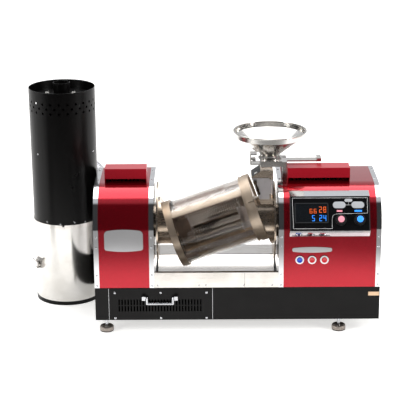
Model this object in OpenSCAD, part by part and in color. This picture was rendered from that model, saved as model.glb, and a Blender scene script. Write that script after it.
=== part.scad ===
// Off-axis glass drum coffee roaster with a tall smoke and chaff collector beside it.
// Millimetres, +Z up, standing on Z = 0. The drum turns about an axis along X.

/* [Main unit] */
// Width of the base and of both housings together
unit_w = 996; // [900:1:1100]
// Depth of the base and housings
unit_d = 450; // [430:1:520]
// Height of the black base box
base_h = 121; // [115:1:150]
// Height of the base above the surface it stands on
foot_h = 52; // [40:1:70]
// Height of the arched housings above the base
arch_h = 344; // [330:1:380]
// Radius of the housings' rounded shoulders
arch_r = 140; // [110:1:160]
// Width of the left housing
left_w = 209; // [195:1:240]
// Width of the right housing
right_w = 354; // [350:1:400]
// Width of the stainless band at each end of a housing
trim_w = 17; // [12:1:24]
// How far the stainless bands stand proud of the painted shells
trim_proud = 1; // [0.5:0.1:2]
// Thickness of the sheet metal
sheet = 2; // [1.5:0.1:2.5]

/* [Feet] */
// Radius of a levelling foot's pad
foot_r = 25; // [18:1:35]
// Radius of a levelling foot's threaded stem
stem_r = 6; // [4:0.5:8]
// Distance of the left feet from the base's left end
foot_left_in = 36; // [30:1:80]
// Distance of the right feet from the base's right end
foot_right_in = 138; // [40:1:160]
// Distance of the feet from the base's front and back
foot_edge = 34; // [30:1:60]

/* [Drum] */
// Height of the turning axis above the floor
axis_z = 347; // [345:1:355]
// Tilt of the glass drum against the turning axis
tilt = 19; // [16:0.5:20]
// Outer radius of the glass tube
glass_r = 117; // [105:1:118]
// Wall of the glass tube
glass_wall = 5; // [3:0.5:7]
// Length of the glass tube
glass_l = 300; // [280:1:305]
// Width of the clamp ring round each end of the glass
ring_w = 25; // [18:1:28]
// Thickness of a clamp ring
ring_t = 4.7; // [3:0.1:6]
// Outer radius of the elbows that join the drum to its flanges
elbow_r = 85; // [75:1:90]
// Radius of the flange disc beside each housing
disc_r = 140; // [120:1:145]
// Thickness of a flange disc
disc_t = 6; // [4:0.5:8]
// Gap between a flange disc and the housing beside it
disc_gap = 5; // [3:0.5:8]
// Outer radius of the hollow journals
journal_r = 60; // [50:1:62]
// Radial clearance of shafts that run in bearings
run_clear = 0.06; // [0.03:0.01:0.1]

/* [Agitator] */
// Number of tines on the helical comb
tines = 23; // [15:1:25]
// Twist of the comb from end to end
comb_twist = 150; // [110:5:170]
// Diameter of a hole in the screen
screen_hole = 5; // [3:0.5:6]
// Distance between holes in the screen
screen_pitch = 11; // [9:0.5:16]
// Depth of the lifting bars
bar_deep = 18; // [12:1:20]

/* [Spout] */
// Width of the spout on the right elbow
spout_w = 90; // [70:1:96]
// Reach of the spout from the turning axis
spout_h = 196; // [190:1:198]
// Radius of the bean inlet
inlet_r = 18; // [14:1:19]

/* [Hopper] */
// Distance of the hopper from the bay's right wall
hopper_in = 24; // [20:1:36]
// Height of the hopper rim above the floor
hopper_top = 682; // [670:1:720]
// Radius of the hopper rim
hopper_r = 131; // [110:1:140]
// Outer radius of the hopper neck
neck_r = 30; // [26:1:32]
// Travel of the slide gate
gate_travel = 46; // [44:1:52]
// Width of the slide gate
gate_w = 50; // [46:1:56]

/* [Collector] */
// Radius of the collector
pot_r = 120; // [100:1:130]
// Height of the collector's rim
tube_top = 805; // [780:1:840]
// Height of the joint between pot and tube
seam_z = 306; // [290:1:320]
// Gap between the collector and the main unit
collector_gap = 11.5; // [10:0.5:20]
// Distance of the collector's centre behind the drum axis
collector_y = 167; // [160:1:175]
// Outer radius of the outlet pipe
pipe_r = 31; // [25:0.5:40]
// Height of the outlet pipe above the rim
pipe_up = 16; // [8:1:40]
// Radius of the smoke duct
duct_r = 32; // [28:1:34]
// Depth of a rib on the smoke duct
rib_deep = 2.4; // [1.5:0.1:4]
// Number of ribs on the smoke duct
ribs = 26; // [20:1:30]

/* [Controls] */
// Width of the control console
console_w = 276; // [260:1:300]
// Radius of a control knob
knob_r = 20; // [14:1:22]
// Radius of a push button cap
button_r = 10; // [8:0.5:12]
// Travel of a push button
button_travel = 3; // [2:0.5:4]
// Distance between push buttons
button_pitch = 42.8; // [36:0.1:50]

/* [Service panel] */
// Width of the louvred service panel
louvre_w = 363; // [340:1:400]
// Width of a louvre slot
slot_w = 5; // [3:0.5:6]
// Distance between louvre slots
slot_pitch = 10.6; // [9:0.1:16]
// Distance between the handle's two posts
handle_w = 113; // [90:1:130]
// Thickness of the handle's bar
handle_t = 8; // [6:0.5:10]

/* [Hidden] */
$fn = 48;

seat = 0.3;                                   // gap between pieces that are seated on each other
front = -unit_d / 2;
back = unit_d / 2;
x_left = -unit_w / 2;
x_right = unit_w / 2;
bay_left = x_left + left_w;
bay_right = x_right - right_w;
bay_mid = (bay_left + bay_right) / 2;
base_top = foot_h + base_h;
arch_top = base_top + arch_h;
spring_z = arch_top - arch_r;
crown_y = back - arch_r;

// Drum
disc_left_x = bay_left + disc_gap;
disc_right_x = bay_right - disc_gap - disc_t;
ring_r = glass_r + seat + ring_t;
end_plate_t = 4;
end_s = glass_l / 2;
plate_s = end_s + end_plate_t;
ring_s = end_s - 1;                           // middle of a clamp ring along the drum
ring_out = ring_s + ring_w / 2 + 0.5;         // past the clamp ring's outer end
sweep_r = sqrt(pow(spout_h, 2) + pow(spout_w / 2 + 12, 2));
elbow_wall = 2;
journal_wall = 3;
journal_end_left = bay_left - 56;
journal_end_right = bay_right + 96;
bearing_w = 20;
bearing_left_x = bay_left - 41;
bearing_right_x = bay_right + 21;

// Spout, in the plane of the turning axis: x from the unit's centre, v up from the axis
spout_s = 175;                                // the sloping side lies this far along the drum
spout_right = disc_right_x - 2;
spout_low = 60;
bevel_v = spout_h - 24;
spout_t = 2;
inlet_x = spout_right - inlet_r - 3;
bevel_x = inlet_x - inlet_r - 3.5;

// Hopper
hopper_x = bay_right - hopper_in;
bracket_z = axis_z + spout_h + 15;
bracket_t = 5;
gate_z = bracket_z + bracket_t + 6;
gate_t = 5;
rail_h = 12.5;
cover_z = bracket_z + bracket_t + rail_h;
cover_t = 3;
hopper_z = cover_z + cover_t;
bracket_left = hopper_x - 34;
bracket_right = bay_right + 36;
gate_left = bracket_left + 2;
gate_right = hopper_x + 182;
gate_grip_l = 16;
throat_r = 20;

// Collector and duct
collector_x = x_left - collector_gap - pot_r;
pot_wall = 1.5;
base_ring_h = 14;
deck_z = tube_top - 34;
band_h = 14;
duct_y = back + duct_r + 4;
duct_dir = [1, 0, -1] / sqrt(2);
duct_top = [x_left - 47, duct_y, axis_z + 130];
duct_l = 148;
duct_low = duct_top + duct_l * duct_dir;
spigot_l = duct_r + 12;
outlet_mid = duct_low + spigot_l * duct_dir;
outlet_r = duct_r + 3;
manifold = [130, 160, 160];

// Console: y and z of its profile, following the photograph's flat face and chrome edges
console_x = x_right - 41 - console_w / 2;
console_foot = [front - 1, arch_top - 157];
console_low = [front - 21, arch_top - 131];
console_high = [front + 35, arch_top - 23];
console_back = [front + 73, arch_top - 14];
console_face = console_high - console_low;
lean = atan2(console_face[0], console_face[1]);
face_l = norm(console_face);
panel_t = 3;
knob_h = 18;

// Buttons
button_x = bay_right + 115.5;
button_z = base_top + 101.5;
bezel_r = button_r + 5;
barrel_r = button_r + 2.5;

// Service panel and handle
louvre_x = x_left + 48.5;
louvre_z0 = foot_h + 2;
louvre_h = base_h - 4;
handle_mid = louvre_x + 179;
handle_z = louvre_z0 + 85;
handle_drop = 22;
handle_y = front - sheet - 10;
post_w = 12;

// Latch on the collector's pot
latch_az = 215;
latch_z = 152;
latch_pin = [16, 12];
lever_l = 48;

// Drive and air supply inside the right housing
pulley_x = bay_right + 58;
pulley_w = 20;
drum_pulley_r = 84;
motor_pulley_r = 26;
belt_t = 3;
motor_at = [-112, -96];                       // y and z of the gearmotor from the turning axis
motor_shaft_r = 8;
motor_r = 40;
heater_x = journal_end_right + 5;
heater_l = 90;
fan_x = heater_x + heater_l;
fan_w = 64;
fan_r = 92;
fan_shaft_r = 6;
fan_motor_l = 44;

// The part's frame: origin in the middle of the footprint box, on the floor
latch_reach = 10;
knob_reach = 30;
unit_at = [
    -(collector_x - pot_r - latch_reach + x_right) / 2,
    -(front - knob_reach + duct_y + duct_r + rib_deep) / 2,
    0
];

function slope_x(s, v) = bay_mid + (s - v * sin(tilt)) / cos(tilt);
function spout_outline(inset, low) = [
    [slope_x(spout_s + inset / cos(tilt), low), low],
    [slope_x(spout_s + inset / cos(tilt), bevel_v - inset), bevel_v - inset],
    [bevel_x + inset / 2, spout_h - inset],
    [spout_right - inset, spout_h - inset],
    [spout_right - inset, low]
];

module rod_x(x0, x1, r) {
    translate([x0, 0, 0]) rotate([0, 90, 0]) cylinder(r = r, h = x1 - x0);
}

module rod_y(y0, y1, r) {
    translate([0, y0, 0]) rotate([-90, 0, 0]) cylinder(r = r, h = y1 - y0);
}

module box(x0, x1, y0, y1, z0, z1) {
    translate([x0, y0, z0]) cube([x1 - x0, y1 - y0, z1 - z0]);
}

// A prism along X from a profile of y and z
module along_x(x0, x1, profile) {
    translate([x0, 0, 0]) rotate([90, 0, 90]) linear_extrude(height = x1 - x0) polygon(profile);
}

// A prism along Y from a profile of x and z
module along_y(y0, y1, profile) {
    translate([0, y1, 0]) rotate([90, 0, 0]) linear_extrude(height = y1 - y0) polygon(profile);
}

module on_axis() {
    translate([0, 0, axis_z]) children();
}

// The glass drum's own frame: +X runs along the tilted drum, origin at its middle
module on_drum() {
    translate([bay_mid, 0, axis_z]) rotate([0, -tilt, 0]) children();
}

module at_collector(z = 0) {
    translate([collector_x, collector_y, z]) children();
}

// ---------------------------------------------------------------- base and bay

module base_shell() {
    color("#1c1a1a") translate(unit_at) difference() {
        box(x_left, x_right, front, back, foot_h, base_top);
        box(x_left + sheet, x_right - sheet, front + sheet, back - sheet, foot_h + sheet, base_top - sheet);
        box(bay_left + sheet, bay_right - sheet, front + 6, back - 6, base_top - 2 * sheet, base_top + 1);
        box(louvre_x + 12, louvre_x + louvre_w - 12, front - 1, front + 2 * sheet, foot_h + 14, base_top - 14);
        translate([x_right - 70, back, foot_h + 40]) rod_y(-3 * sheet, 1, gland_r + seat);
    }
}

gland_r = 12.5;
gland_bore = 6.5;
gland_l = 34;

// A strain relief for the mains lead, in the back of the base
module cable_gland() {
    color("#222222") translate(unit_at) translate([x_right - 70, back, foot_h + 40]) difference() {
        union() {
            rod_y(-sheet - 8, gland_l - 8, gland_r);
            rod_y(seat, 6, gland_r + 4);
        }
        rod_y(-sheet - 9, gland_l, gland_bore);
    }
}

module levelling_feet() {
    color("#c8c8c8") translate(unit_at)
        for (x = [x_left + foot_left_in, x_right - foot_right_in], y = [front + foot_edge, back - foot_edge])
            translate([x, y, 0]) {
                cylinder(r = foot_r, h = 5);
                translate([0, 0, 5]) cylinder(r1 = foot_r, r2 = stem_r + 4, h = 6);
                translate([0, 0, 11]) cylinder(r = stem_r, h = foot_h - 11);
                translate([0, 0, foot_h - 9]) cylinder(r = stem_r + 5, h = 6, $fn = 6);
            }
}

module louvre_panel() {
    rows = 2;
    slot_h = 21;
    slots = floor((louvre_w - 66) / slot_pitch);
    color("#201e1e") translate(unit_at) translate([louvre_x, front, louvre_z0]) rotate([90, 0, 0])
        linear_extrude(height = sheet) difference() {
            square([louvre_w, louvre_h]);
            for (i = [0 : slots - 1], row = [0 : rows - 1])
                translate([33 + i * slot_pitch, 31 + row * (slot_h + 3)]) square([slot_w, slot_h]);
        }
}

module handle_posts() {
    color("#1a1a1a") translate(unit_at)
        for (side = [-1, 1]) translate([handle_mid + side * (handle_w / 2), handle_y, handle_z]) difference() {
            box(-post_w / 2, post_w / 2, -7, front - sheet - handle_y, -7, 7);
            rod_x(side > 0 ? -post_w : -3, side > 0 ? 3 : post_w, handle_t / 2 - 1 + run_clear);
        }
}

module bail_handle() {
    leg_x = handle_w / 2 - post_w / 2 - handle_t / 2 - 1;
    color("#1a1a1a") translate(unit_at) translate([handle_mid, handle_y, handle_z]) {
        for (side = [-1, 1]) {
            translate([side * leg_x, 0, -handle_drop]) cylinder(r = handle_t / 2, h = handle_drop);
            translate([side * leg_x, 0, 0]) sphere(r = handle_t / 2);
            translate([side * leg_x, 0, -handle_drop]) sphere(r = handle_t / 2);
            rod_x(side > 0 ? leg_x : -handle_w / 2 - 2, side > 0 ? handle_w / 2 + 2 : -leg_x, handle_t / 2 - 1);
        }
        translate([0, 0, -handle_drop]) rod_x(-leg_x, leg_x, handle_t / 2);
    }
}

module front_panel() {
    rise = 55;
    color("#cfcac6") translate(unit_at) {
        box(bay_left + seat, bay_right - seat, front, front + sheet, base_top, base_top + rise);
        box(bay_left + seat, bay_right - seat, front + sheet, front + 16, base_top + rise - sheet, base_top + rise);
        box(bay_left + seat, bay_right - seat, front + 14, front + 16, base_top + rise - 12, base_top + rise - sheet);
    }
}

tray_r = sweep_r + 4;
tray_half = sqrt(pow(tray_r, 2) - pow(axis_z - base_top - seat, 2));

// The polished trough below the drum, concentric with its turning axis
module bay_tray() {
    x0 = bay_left + sheet + seat;
    x1 = bay_right - sheet - seat;
    color("#d8d4d0") translate(unit_at) {
        difference() {
            on_axis() rod_x(x0, x1, tray_r + sheet);
            on_axis() rod_x(x0 - 1, x1 + 1, tray_r);
            box(x0 - 1, x1 + 1, front, back, base_top + seat, axis_z + tray_r + 9);
        }
        for (side = [-1, 1]) {
            y0 = side > 0 ? tray_half : front + 8;
            y1 = side > 0 ? back - 8 : -tray_half;
            box(x0, x1, y0, y1, base_top + seat, base_top + seat + sheet);
        }
        box(x0, x1, -tray_half - sheet, -tray_half, base_top - sheet, base_top + seat + sheet);
        box(x0, x1, tray_half, tray_half + sheet, base_top - sheet, base_top + seat + sheet);
    }
}

// ---------------------------------------------------------------- housings

// The housings' section: straight walls with two rounded shoulders, drawn in by inset
module arch(x0, x1, inset, low = base_top) {
    half = unit_d / 2 - inset;
    box(x0, x1, -half, half, low, spring_z);
    box(x0, x1, -crown_y, crown_y, spring_z - 1, arch_top - inset);
    for (side = [-1, 1])
        translate([0, side * crown_y, spring_z]) rod_x(x0, x1, arch_r - inset);
}

module shell(x0, x1) {
    difference() {
        arch(x0, x1, 0);
        arch(x0 - 1, x1 + 1, sheet, base_top - 1);
    }
}

// A stainless end frame: a band over the shell's edge, with a wall on its outer side
module end_frame(x0, wall_left) {
    wall_x = wall_left ? x0 : x0 + trim_w - sheet;
    difference() {
        arch(x0, x0 + trim_w, -trim_proud);
        arch(x0 - 1, x0 + trim_w + 1, sheet, base_top - 1);
    }
    arch(wall_x, wall_x + sheet, sheet / 2);
}

hood_front = -crown_y - 7;
hood_back = -6;
hood_h = 49;
hood_slot = 14;
hoods = [[x_left + 35, 147], [bay_right + 36, 218]];
vent_pitch = 14;

module left_shell() {
    color("#8c0a1c") translate(unit_at) difference() {
        shell(x_left + trim_w, bay_left - trim_w);
        hood_vents(hoods[0]);
        translate([outlet_mid[0], 0, outlet_mid[2]]) rod_y(back - 20, back + 1, outlet_r + seat);
    }
}

module right_shell() {
    color("#8c0a1c") translate(unit_at) difference() {
        shell(bay_right + trim_w, x_right - trim_w);
        hood_vents(hoods[1]);
        for (i = [0 : 2])
            translate([button_x + (i - 1) * button_pitch, 0, button_z]) rod_y(front - 1, front + 9, barrel_r + seat);
    }
}

// Slots through a shell's crown, below its hood
module hood_vents(hood) {
    count = floor((hood[1] - 24) / vent_pitch);
    for (i = [0 : count - 1])
        box(hood[0] + 14 + i * vent_pitch, hood[0] + 20 + i * vent_pitch, -crown_y + 12, hood_back - 16, arch_top - 9, arch_top + 1);
}

module left_outer_frame() {
    color("#d9d9dc") translate(unit_at) end_frame(x_left, true);
}

module left_inner_frame() {
    color("#d9d9dc") translate(unit_at) difference() {
        end_frame(bay_left - trim_w, false);
        on_axis() rod_x(bay_left - trim_w - 1, bay_left + 1, journal_r + 5);
    }
}

module right_inner_frame() {
    color("#d9d9dc") translate(unit_at) difference() {
        end_frame(bay_right, true);
        on_axis() rod_x(bay_right - 1, bay_right + trim_w + 1, journal_r + 5);
    }
}

module right_outer_frame() {
    color("#d9d9dc") translate(unit_at) end_frame(x_right - trim_w, false);
}

module vent_hoods() {
    lip_z = arch_top + hood_slot;
    top_z = arch_top + hood_h;
    color("#8c0a1c") translate(unit_at) for (hood = hoods) difference() {
        along_x(hood[0], hood[0] + hood[1], [
            [hood_front + 8, arch_top + seat], [hood_front, lip_z], [hood_front + 4, top_z],
            [hood_back - 18, top_z], [hood_back, arch_top + seat]
        ]);
        along_x(hood[0] + sheet, hood[0] + hood[1] - sheet, [
            [hood_front - 8, arch_top - 1], [hood_front - 8, lip_z], [hood_front + sheet, lip_z],
            [hood_front + 6, top_z - sheet], [hood_back - 20, top_z - sheet], [hood_back - 3, arch_top - 1]
        ]);
    }
}

// Small domed screws that hold the bands, the front panel and the service panel
module trim_screws() {
    screw_r = 3.4;
    heights = [base_top + 8, base_top + 47, base_top + 185, spring_z - 55];
    bands = [x_left, bay_left - trim_w, bay_right, x_right - trim_w];
    color("#b8b8bc") translate(unit_at) {
        for (x = bands, z = heights)
            translate([x + trim_w / 2, front - trim_proud, z]) dome(screw_r);
        for (x = [bay_left + 12, bay_mid - 60, bay_mid - 36, bay_right - 120, bay_right - 22])
            translate([x, front, base_top + 8]) dome(screw_r);
        for (x = [louvre_x + 21, louvre_x + 182, louvre_x + 342], z = [louvre_z0 + 6, louvre_z0 + 101])
            translate([x, front - sheet, z]) dome(screw_r + 1);
        for (x = bands, side = [-1, 1])
            translate([x + trim_w / 2, side * 60, arch_top + trim_proud]) rotate([-90, 0, 0]) dome(screw_r);
    }
}

// A domed head on a face that looks along -Y
module dome(r) {
    rotate([90, 0, 0]) intersection() {
        cylinder(r = r, h = r);
        translate([0, 0, -r * 0.6]) sphere(r = r * 1.166);
    }
}

// ---------------------------------------------------------------- controls

// The console's slanted face: +X along it, +Y up it, +Z outwards
module on_console() {
    translate([console_x, console_low[0], console_low[1]]) rotate([90 - lean, 0, 0]) children();
}

module console() {
    x0 = console_x - console_w / 2;
    x1 = console_x + console_w / 2;
    color("#dcdcde") translate(unit_at) difference() {
        along_x(x0, x1, [console_foot, console_low, console_high, console_back, [-crown_y, spring_z]]);
        arch(x0 - 1, x1 + 1, -seat);
        on_console() for (x = knob_x) translate([x, knob_v, -14]) cylinder(r = 4, h = 20);
    }
}

knob_x = [37, 102];
knob_v = 38;
panel_w = console_w - 8;
display = [-120, 29, 113, 67];                // x, y, width and height on the panel
ovals = [[32, 90, 45, 24], [96, 90, 45, 24], [64, 106, 28, 11]];
lights = [[33, 69, 20, 7], [97, 69, 26, 7]];

module control_panel() {
    color("#0a0a0c") translate(unit_at) on_console() difference() {
        translate([-panel_w / 2, 2, 0]) cube([panel_w, face_l - 4, panel_t]);
        for (x = knob_x) translate([x, knob_v, -1]) cylinder(r = 4, h = panel_t + 2);
        translate([display[0], display[1], panel_t - 1]) cube([display[2], display[3], 2]);
    }
}

// The display glass and the small indicator windows, proud of the panel
module display_window() {
    color("#202428") translate(unit_at) on_console() {
        translate([display[0] + seat, display[1] + seat, panel_t - 1])
            cube([display[2] - 2 * seat, display[3] - 2 * seat, 2]);
        for (o = ovals) translate([o[0], o[1], panel_t]) linear_extrude(height = 1.2) stadium(o[2], o[3]);
        for (o = lights) translate([o[0] - o[2] / 2, o[1] - o[3] / 2, panel_t]) cube([o[2], o[3], 1.2]);
    }
}

module stadium(w, h) {
    square([w - h, h], center = true);
    for (side = [-1, 1]) translate([side * (w - h) / 2, 0]) circle(d = h);
}

module knob(x) {
    color("#141414") translate(unit_at) on_console() translate([x, knob_v, panel_t + seat]) {
        cylinder(r = knob_r, h = 5);
        translate([0, 0, 5]) difference() {
            cylinder(r = knob_r - 4, h = knob_h - 5);
            for (a = [0 : 30 : 330]) rotate(a) translate([knob_r - 3, 0, -1]) cylinder(r = 2, h = knob_h);
        }
        translate([0, 0, -panel_t - 8]) cylinder(r = 4 - run_clear, h = panel_t + 8.5);
    }
}

module red_knob() {
    knob(knob_x[0]);
}

module blue_knob() {
    knob(knob_x[1]);
}

module at_button(i) {
    translate([button_x + (i - 1) * button_pitch, front, button_z]) children();
}

module button_bezels() {
    color("#d4d4d6") translate(unit_at) for (i = [0 : 2]) at_button(i) difference() {
        union() {
            rod_y(-4 - seat, -seat, bezel_r);
            rod_y(-1, 24, barrel_r);
        }
        rod_y(-6, 22, button_r + run_clear);
    }
}

module push_button(i) {
    translate(unit_at) at_button(i) {
        rod_y(-7, 14, button_r);
    }
}

module left_button() {
    color("#2a4fa0") push_button(0);
}

module middle_button() {
    color("#a02030") push_button(1);
}

module right_button() {
    color("#a02030") push_button(2);
}

// The blank plate on the left housing and the blank plate above the buttons
module face_plates() {
    color("#d8d2cc") translate(unit_at) {
        translate([x_left + 105, front - seat, base_top + 175]) rotate([90, 0, 0])
            linear_extrude(height = 1.5) bowed_plate(134, 81, 6, 16, 9);
        translate([button_x, front - seat, base_top + 138]) rotate([90, 0, 0])
            linear_extrude(height = 1.5) bowed_plate(138, 21, 4, 7, 7);
    }
}

// A plate whose long sides bow outwards by bow, with rounded upper and lower corners
module bowed_plate(w, h, bow, top_r, low_r) {
    arc_r = (w * w / 4 + bow * bow) / (2 * bow);
    for (side = [-1, 1]) {
        r = side > 0 ? top_r : low_r;
        x = w / 2 - r;
        y = h / 2 - arc_r + sqrt(pow(arc_r - r, 2) - x * x);
        arc_x = x * arc_r / (arc_r - r);
        intersection() {
            translate([0, side * (h / 2 - arc_r)]) circle(r = arc_r, $fn = 240);
            translate([-arc_x, side > 0 ? 0 : -h / 2]) square([2 * arc_x, h / 2]);
        }
        translate([-w / 2, side > 0 ? 0 : -y]) square([w, y]);
        for (end = [-1, 1]) translate([end * x, side * y]) circle(r = r);
    }
}

// ---------------------------------------------------------------- hopper

module hopper() {
    wall = 1.5;
    rim_z = hopper_top - 3;
    band_z = hopper_top - 22;
    band_r = hopper_r - 5;
    cone_z = hopper_z + 12;
    color("#cfcdca") translate(unit_at) translate([hopper_x, 0, 0]) {
        rotate_extrude($fn = 96) union() {
            polygon([
                [neck_r - wall, hopper_z + seat], [neck_r + 12, hopper_z + seat], [neck_r + 12, hopper_z + 2 * wall],
                [neck_r, hopper_z + 2 * wall], [neck_r, cone_z], [band_r, band_z], [hopper_r - 3, rim_z],
                [hopper_r - 3 - wall, rim_z], [band_r - wall, band_z + wall / 2], [neck_r - wall, cone_z + wall / 2]
            ]);
            translate([hopper_r - 3, rim_z]) circle(r = 3);
        }
    }
}

module hopper_bracket() {
    rail_y = gate_w / 2 + 0.5;
    color("#c4c2c0") translate(unit_at) difference() {
        union() {
            box(bracket_left, bracket_right, -46, 46, bracket_z, bracket_z + bracket_t);
            for (side = [-1, 1]) {
                y0 = side > 0 ? rail_y : -46;
                y1 = side > 0 ? 46 : -rail_y;
                box(bracket_left, bracket_right, y0, y1, bracket_z, cover_z);
                box(bay_right + trim_w + 2, bracket_right, y0, y1, arch_top + seat, bracket_z + 1);
            }
            box(bracket_left, hopper_x + 42, -46, 46, cover_z, cover_z + cover_t);
            bracket_catch();
        }
        translate([inlet_x, 0, bracket_z - 1]) cylinder(r = throat_r, h = bracket_t + 2);
        translate([hopper_x, 0, cover_z - 1]) cylinder(r = neck_r - 1.5, h = cover_t + 2);
    }
}

catch_x = bracket_left - 36;
catch_w = 40;
catch_h = 40;

// The catch on the bracket's left end: a folded strap with a square nut in it
module bracket_catch() {
    catch_t = 4;
    top = bracket_z + catch_h;
    box(catch_x, bracket_left + 1, -catch_w / 2, catch_w / 2, bracket_z, bracket_z + catch_t);
    box(catch_x, catch_x + catch_t, -catch_w / 2, catch_w / 2, bracket_z, top);
    box(catch_x, catch_x + 24, -catch_w / 2, catch_w / 2, top - catch_t, top);
    box(catch_x + 8, catch_x + 20, -catch_w / 2 + 2, catch_w / 2 - 14, bracket_z + 12, bracket_z + 24);
    box(catch_x + 1, catch_x + 12, -6, 2, bracket_z + 14, bracket_z + 22);
}

// Hand nuts that hold the hopper's flange down
module hopper_clamps() {
    color("#b8b6b4") translate(unit_at) for (side = [-1, 1], end = [-1, 1])
        translate([hopper_x + end * 28, side * 37, hopper_z]) {
            cylinder(r = 3, h = 12);
            translate([0, 0, 3]) cylinder(r = 5, h = 4, $fn = 6);
            translate([-9, -2, 7]) cube([18, 4, 8]);
        }
}

module slide_gate() {
    color("#c8c6c4") translate(unit_at) {
        box(gate_left, hopper_x + 60, -gate_w / 2, gate_w / 2, gate_z, gate_z + gate_t);
        box(hopper_x + 60, gate_right, -gate_w / 2 + 6, gate_w / 2 - 6, gate_z, gate_z + gate_t);
        box(gate_right - gate_grip_l, gate_right, -gate_w / 2 + 2, gate_w / 2 - 2, gate_z + gate_t, gate_z + 13);
    }
}

// ---------------------------------------------------------------- collector

module collector_base() {
    color("#101010") translate(unit_at) at_collector() {
        difference() {
            cylinder(r = pot_r + 1, h = base_ring_h, $fn = 96);
            translate([0, 0, 3]) cylinder(r = pot_r - 3, h = base_ring_h, $fn = 96);
            translate([0, 0, base_ring_h - 4]) cylinder(r = pot_r + seat, h = 5, $fn = 96);
        }
    }
}

module collector_pot() {
    color("#d0ccc8") translate(unit_at) at_collector(base_ring_h - 4) difference() {
        cylinder(r = pot_r, h = seam_z - base_ring_h + 4, $fn = 96);
        translate([0, 0, pot_wall]) cylinder(r = pot_r - pot_wall, h = seam_z, $fn = 96);
    }
}

module collector_band() {
    color("#d8d4d0") translate(unit_at) at_collector(seam_z - band_h / 2) {
        difference() {
            cylinder(r = pot_r + seat + 1.5, h = band_h, $fn = 96);
            translate([0, 0, -1]) cylinder(r = pot_r + seat, h = band_h + 2, $fn = 96);
        }
        translate([-4, -pot_r - 14, 2]) cube([8, 12.5, band_h - 4]);
    }
}

// The black upper tube, pierced below its rim by three staggered rows of holes
module collector_tube() {
    rows = 3;
    per_row = 24;
    row_step = 17;
    hole_r = 4.5;
    color("#141212") translate(unit_at) at_collector() difference() {
        translate([0, 0, seam_z]) cylinder(r = pot_r, h = tube_top - seam_z, $fn = 96);
        translate([0, 0, seam_z - 1]) cylinder(r = pot_r - pot_wall, h = tube_top, $fn = 96);
        for (row = [0 : rows - 1], i = [0 : per_row - 1])
            translate([0, 0, deck_z - 8 - row * row_step]) rotate((i + (row % 2) / 2) * 360 / per_row)
                rod_x(pot_r - 9, pot_r + 9, hole_r);
        translate(-[collector_x, collector_y, 0]) {
            duct_line(duct_r + seat, -60, 0);
            duct_line(duct_r + rib_deep + seat, -seat, 60);
        }
    }
}

// The deck inside the rim, with the outlet pipe through its middle
module collector_deck() {
    color("#161414") translate(unit_at) at_collector(deck_z) difference() {
        union() {
            cylinder(r = pot_r - pot_wall - seat, h = sheet, $fn = 96);
            translate([0, 0, -30]) cylinder(r = pipe_r, h = tube_top + pipe_up - deck_z + 30);
        }
        translate([0, 0, -31]) cylinder(r = pipe_r - 1.5, h = tube_top);
    }
}

// A perforated basket that hangs in the pot and catches chaff
module chaff_filter() {
    basket_r = pot_r - 12;
    low = base_ring_h + 10;
    color("#b0aca8") translate(unit_at) at_collector(low) {
        difference() {
            cylinder(r = basket_r, h = seam_z - low - 12);
            translate([0, 0, 1.2]) cylinder(r = basket_r - 1.2, h = seam_z);
            for (row = [0 : 3], i = [0 : 9])
                translate([0, 0, 36 + row * 56]) rotate((i + (row % 2) / 2) * 36) rod_x(basket_r - 9, pot_r, 5);
        }
        translate([0, 0, seam_z - low - 13]) difference() {
            cylinder(r = pot_r - pot_wall - seat, h = 1.5);
            translate([0, 0, -1]) cylinder(r = basket_r - 1.2, h = 4);
        }
    }
}

// A cylinder on the duct's centre line, from a to b past its upper end
module duct_line(r, a, b) {
    translate(duct_top + a * duct_dir) rotate([0, 135, 0]) cylinder(r = r, h = b - a);
}

module collector_inlet() {
    color("#b8b4b0") translate(unit_at) difference() {
        duct_line(duct_r, -44, 0);
        duct_line(duct_r - 1.5, -50, 1);
    }
}

// A corrugated metal duct: each rib is a crest between two valleys
module flex_duct() {
    step = duct_l / ribs;
    outer = [for (i = [0 : ribs - 1], k = [0, 1]) [duct_r + (k == 1 ? rib_deep : 0), (i + k / 2) * step]];
    color("#c6c6c8") translate(unit_at) translate(duct_top) rotate([0, 135, 0]) rotate_extrude($fn = 48)
        polygon(concat([[duct_r - 2, 0]], outer, [[duct_r, duct_l], [duct_r - 2, duct_l]]));
    echo(least_gap_between_crests = step);
}

// Exhaust box inside the left housing, its elbow behind it and the duct's lower spigot
module exhaust_outlet() {
    x1 = journal_end_left + 12;
    x0 = x1 - manifold[0];
    half_y = manifold[1] / 2;
    half_z = manifold[2] / 2;
    color("#b4b0ac") translate(unit_at) difference() {
        union() {
            box(x0, x1, -half_y, half_y, axis_z - half_z, axis_z + half_z);
            box(x0 + 20, x1 - 20, -30, 30, base_top + seat, axis_z - half_z);
            outlet_bend(outlet_r, 0);
        }
        box(x0 + 2, x1 - 2, -half_y + 2, half_y - 2, axis_z - half_z + 2, axis_z + half_z - 2);
        on_axis() rod_x(x1 - 4, x1 + 1, journal_r + 2);
        outlet_bend(outlet_r - 1.5, 1.5);
    }
}

// A pipe through the housing's back, closed behind, with the duct's spigot on its side
module outlet_bend(r, wall) {
    duct_line(r - 3, duct_l - wall, duct_l + spigot_l);
    translate([outlet_mid[0], 0, outlet_mid[2]])
        rod_y(manifold[1] / 2 - 2 - wall, duct_y + duct_r + rib_deep - wall, r);
}

module at_latch() {
    at_collector(latch_z) rotate(latch_az) translate([pot_r, 0, 0]) children();
}

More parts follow.
